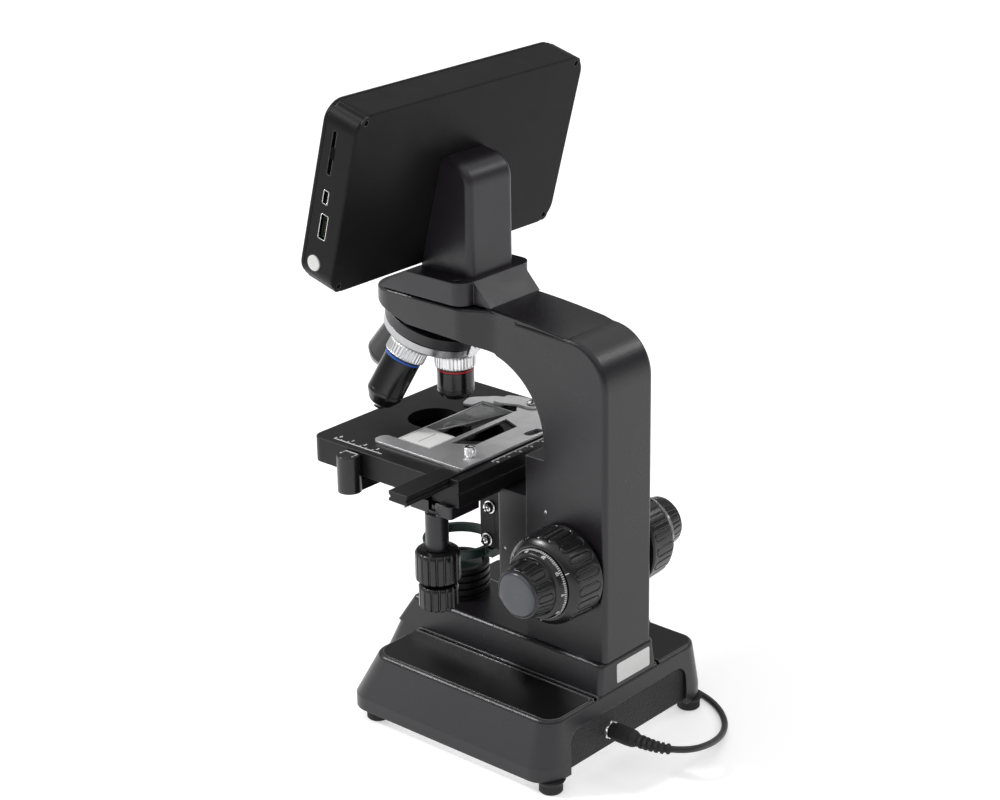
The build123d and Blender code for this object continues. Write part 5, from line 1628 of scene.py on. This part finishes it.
@dataclass
class PowerLead:
    """Thin lead from the rear inlet, its plug and ribbed relief, and its put-away coil."""

    diameter: float = 4.0
    route: tuple[tuple[float, float, float], ...] = (
        (16.5, 151.4, 20.3),
        (16.5, 162.8, 20.3),
        (10.8, 172.7, 19.2),
        (0.9, 178.2, 16.9),
        (-11.2, 177.8, 13.3),
        (-26.5, 174.6, 8.7),
        (-43.0, 169.0, 4.6),
        (-58.5, 160.0, 2.4),
        (-70.5, 147.0, 2.0),
        (-78.3, 131.0, 2.0),
        (-81.6, 110.0, 2.0),
        (-81.2, 86.0, 2.0),
        (-80.4, 62.0, 2.0),
        (-80.2, 38.0, 2.0),
    )
    coil_centre: tuple[float, float] = (-109.2, 26.0)
    coil_outer: float = 29.0
    turns: int = 8
    per_turn: int = 16
    length: float = 1.30
    plug_face: float = 134.4
    tie_angle: float = 225.0
    adapter_front: float = -10.0

    def points(self) -> list[Vector]:
        """Gives the spline's control points in metres, the coil's turns included."""
        line = [spot(*point) for point in self.route]
        swell = 1 / (0.75 + 0.25 * math.cos(2 * math.pi / self.per_turn))
        middle = self.turns / 2
        for step in range(self.turns * self.per_turn + 1):
            turned = step / self.per_turn
            inward = min(turned, self.turns - turned)
            radius = (self.coil_outer - self.diameter * inward) * swell
            climb = min(1.0, max(0.0, (turned - middle + 0.4) / 0.8))
            height = self.diameter * (0.5 + climb)
            angle = -2 * math.pi * turned
            line.append(
                spot(
                    self.coil_centre[0] + radius * math.cos(angle),
                    self.coil_centre[1] + radius * math.sin(angle),
                    height,
                )
            )
        end_x = self.coil_centre[0] + self.coil_outer
        line += [spot(end_x, ahead, 1.5 * self.diameter) for ahead in (17.0, 4.0, -8.0)]
        return [point * MM for point in line]

    def line(self, curve: bpy.types.Curve) -> list[Vector]:
        """Reads the spline's own line, in millimetres from the inlet."""
        bare = curve.copy()
        bare.bevel_depth = 0.0
        bare.resolution_u = 12
        holder = bpy.data.objects.new("line", bare)
        mesh = bpy.data.meshes.new_from_object(holder)
        line = [vert.co / MM for vert in mesh.vertices]
        bpy.data.objects.remove(holder)
        bpy.data.meshes.remove(mesh)
        bpy.data.curves.remove(bare)
        return line

    def stations(
        self, line: Sequence[Vector], rings: Sequence[tuple[float, float]], back: float
    ) -> list[tuple[Matrix, float]]:
        """Places rings along the line.

        Args:
            line: Points of the lead.
            rings: Distance along the line and radius of each ring.
            back: How far the first ring may lie before the line's start, along its first run.

        Returns:
            Placement and radius of each ring.
        """
        start = line[0] - (line[1] - line[0]).normalized() * back
        path = [start, *line]
        placed = []
        for distance, radius in rings:
            left = distance + back
            for here, onward in zip(path, path[1:]):
                run = (onward - here).length
                if left <= run:
                    break
                left -= run
            sight = (onward - here).normalized()
            first = Vector((0, 0, 1)).cross(sight).normalized()
            placed.append((plane(here + sight * left, first, sight.cross(first)), radius))
        return placed

    def plug_place(self) -> Matrix:
        """Plane across the plug's axis, its normal backwards."""
        return shifted(behind(0), -self.route[0][0], self.route[0][2])

    def plug(self, line: Sequence[Vector]) -> bpy.types.Object:
        """Turns the plug's grip and draws its ribbed relief along the lead."""
        form = Form()
        start = self.plug_face
        place = self.plug_place()
        form.lathe(
            [
                (2.9, start), (4.7, start, 0.4), (5.4, start + 1.0, 0.6), (5.4, start + 11.6, 1.2),
                (5.1, start + 12.2, 0.3), (5.1, start + 12.8, 0.3), (5.3, start + 13.4, 0.3), (5.0, start + 15.0, 0.8),
                (4.1, start + 16.9, 0.8), (0, start + 16.9), (0, start + 3), (2.9, start + 3),
            ],
            place, steps=96,
        )
        for row in range(6):
            along = start + 3.4 + 1.25 * row
            form.lathe(
                [(5.2, along), (5.34, along + 0.1), (5.4, along + 0.4), (5.34, along + 0.7), (5.2, along + 0.8)],
                place, steps=96,
            )
        rings = [(-0.6, 3.6), (-0.2, 3.9), (0.6, 3.9)]
        for rib in range(6):
            along = 1.4 + 3.3 * rib
            outer = 3.95 - 0.17 * rib
            inner = 2.85 - 0.08 * rib
            rings += [
                (along, inner), (along + 1.0, inner), (along + 1.35, outer), (along + 1.7, outer + 0.12),
                (along + 2.6, outer + 0.12), (along + 2.95, outer),
            ]
        rings += [(21.2, 2.5), (21.6, 2.1)]
        form.tube(self.stations(line, rings, 1.0), 48)
        return form.piece("plug", Body.BASE, Finishes.RUBBER, "dc_plug", smooth=50)

    def prong(self) -> bpy.types.Object:
        """Turns the bright barrel that enters the inlet."""
        start = self.plug_face
        form = Form().lathe(
            [
                (1.1, start - 8.0), (2.5, start - 8.0, 0.2), (2.7, start - 7.6), (2.7, start + 1.2),
                (1.1, start + 1.2),
            ],
            self.plug_place(), steps=48,
        )
        return form.piece("plug_barrel", Body.BASE, Finishes.CHROME)

    def tie(self) -> bpy.types.Object:
        """Wraps a soft strap round the put-away turns."""
        centre_x, centre_ahead = self.coil_centre
        middle = self.coil_outer - self.diameter * (self.turns / 2 - 1) / 2
        half = self.diameter * (self.turns / 2 - 1) / 2 + self.diameter / 2
        low, high = 0.05, 2 * self.diameter + 0.75
        left, right = middle - half - 0.75, middle + half + 0.75
        place = Matrix.Translation(spot(centre_x, centre_ahead, 0)) @ rotation(self.tie_angle)
        place = place @ plane(Vector((0, 6, 0)), (1, 0, 0), (0, 0, 1))
        form = Form().frame(rectangle(left, low, right, high, 2.2), place, depth=12.0, wall=0.7, steps=5)
        return form.piece("lead_tie", Body.BASE, Finishes.STRAP, smooth=50)

    def adapter(self) -> list[bpy.types.Object]:
        """Moulds the wall adapter with its seam, blades and cord sleeve."""
        body = Form()
        place = plane(spot(-95.5, self.adapter_front, 12), (1, 0, 0), (0, 0, 1))
        body.prism(rectangle(-18.5, -12, 18.5, 12, 4), place, 58.8, ease=1.5)
        body.frame(rectangle(-18.54, -0.35, 18.54, 0.35), shifted(place, out=1.6), depth=55.6, wall=0.2)
        start = spot(self.coil_centre[0] + self.coil_outer, self.adapter_front, 6.0)
        rings = [(0.0, 3.6)]
        for rib in range(5):
            along = 1.2 + 2.7 * rib
            inner, outer = 2.7 - 0.06 * rib, 3.5 - 0.14 * rib
            rings += [(along, inner), (along + 0.8, inner), (along + 1.1, outer), (along + 2.2, outer)]
        rings += [(15.4, 2.3)]
        placed = [
            (plane(start + Vector((0, along - 0.3, 0)), (-1, 0, 0), (0, 0, 1)), radius) for along, radius in rings
        ]
        body.tube(placed, 40)
        shell = body.piece("adapter_shell", Body.BASE, Finishes.RUBBER, "wall_adapter")
        blades = Form()
        for x in (-101.8, -89.2):
            blades.block((x - 0.75, -83.8, 8.85), (x + 0.75, -68.6, 15.15), 0.3)
        metal = blades.piece("adapter_blades", Body.BASE, Finishes.BRASS)
        return [shell, metal]

    def build(self) -> None:
        """Lays the lead and the pieces on it."""
        curve = bpy.data.curves.new("power_cord", "CURVE")
        curve.dimensions = "3D"
        curve.resolution_u = 4
        curve.bevel_depth = self.diameter / 2 * MM
        curve.bevel_resolution = 4
        curve.use_fill_caps = True
        spline = curve.splines.new("NURBS")
        points = self.points()
        spline.points.add(len(points) - 1)
        for point, place in zip(spline.points, points):
            point.co = (*place, 1.0)
        spline.order_u = 3
        spline.use_endpoint_u = True
        curve.materials.append(FINISHES.of(Finishes.LEAD))
        cord = bpy.data.objects.new("power_cord", curve)
        bpy.context.scene.collection.objects.link(cord)
        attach(cord, Body.BASE.value)
        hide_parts("cord_tube", "cord_coil")
        line = self.line(curve)
        pieces = [self.plug(line), self.prong(), self.tie(), *self.adapter()]
        log.info("power_cord: %d points", len(points))


def main() -> None:
    """Builds the view and dresses every assembly in order."""
    logging.basicConfig(level=logging.INFO, format="%(message)s")
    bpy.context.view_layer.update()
    Studio().build()
    PowerLead().build()
    PowerInlet().build()
    FocusDrive().build()
    Nosepiece(
        (
            Objective("red", (0, 0, -1), 27.5, nose=8.5, ring=Finishes.RED),
            Objective("yellow", (-0.343987, -0.322995, -0.881672), 37.0, nose=7.0, ring=Finishes.YELLOW),
            Objective("light_blue", (0, -0.645990, -0.763345), 44.4, 6.5, Finishes.SKY, tip=Body.LIGHT_TIP),
            Objective("dark_blue", (0.343987, -0.322995, -0.881672), 44.4, 6.5, Finishes.NAVY, tip=Body.DARK_TIP),
        )
    ).build()
    StageKnobs().build()
    StageTop().build()
    SmallParts().build()
    dress(Finishes.CAST, "base_housing", "arm", "nosepiece_seat", "focus_carrier", "stage_base", "drive_bracket")
    dress(Finishes.GRIP, "y_index_boss")
    dress(Finishes.STAGE, "stage_plate", "x_rail", "x_bar", "condenser", "filter_bracket")
    dress(Finishes.PAD, "pad_left", "pad_right")
    dress(Finishes.SAND, "rear_panel")
    dress(Finishes.HEAD, "head_collar", "stem")
    dress(Finishes.SHELL, "monitor_back", "monitor_bezel")
    dress(Finishes.FINS, "illuminator")
    dress(Finishes.CHROME, "detent_spring")
    dress(Finishes.SATIN, "holder_plate", "spring_finger", "coarse_shaft", "fine_shaft")
    dress(Finishes.SATIN, "bottom_screws", "base_bottom_plate")
    dress(Finishes.BRASS, "focus_rack")
    dress(Finishes.GREEN, "filter_ring")
    dress(Finishes.LENS, "field_lens")
    dress(Finishes.RUBBER, "rubber_feet", "dc_jack")
    dress(Finishes.BOARD, "driver_board", "main_board", "led_module", "camera_module")
    dress(Finishes.SCREEN, "lcd_panel")
    dress(Finishes.BUTTON, "power_button")


if __name__ == "__main__":
    main()
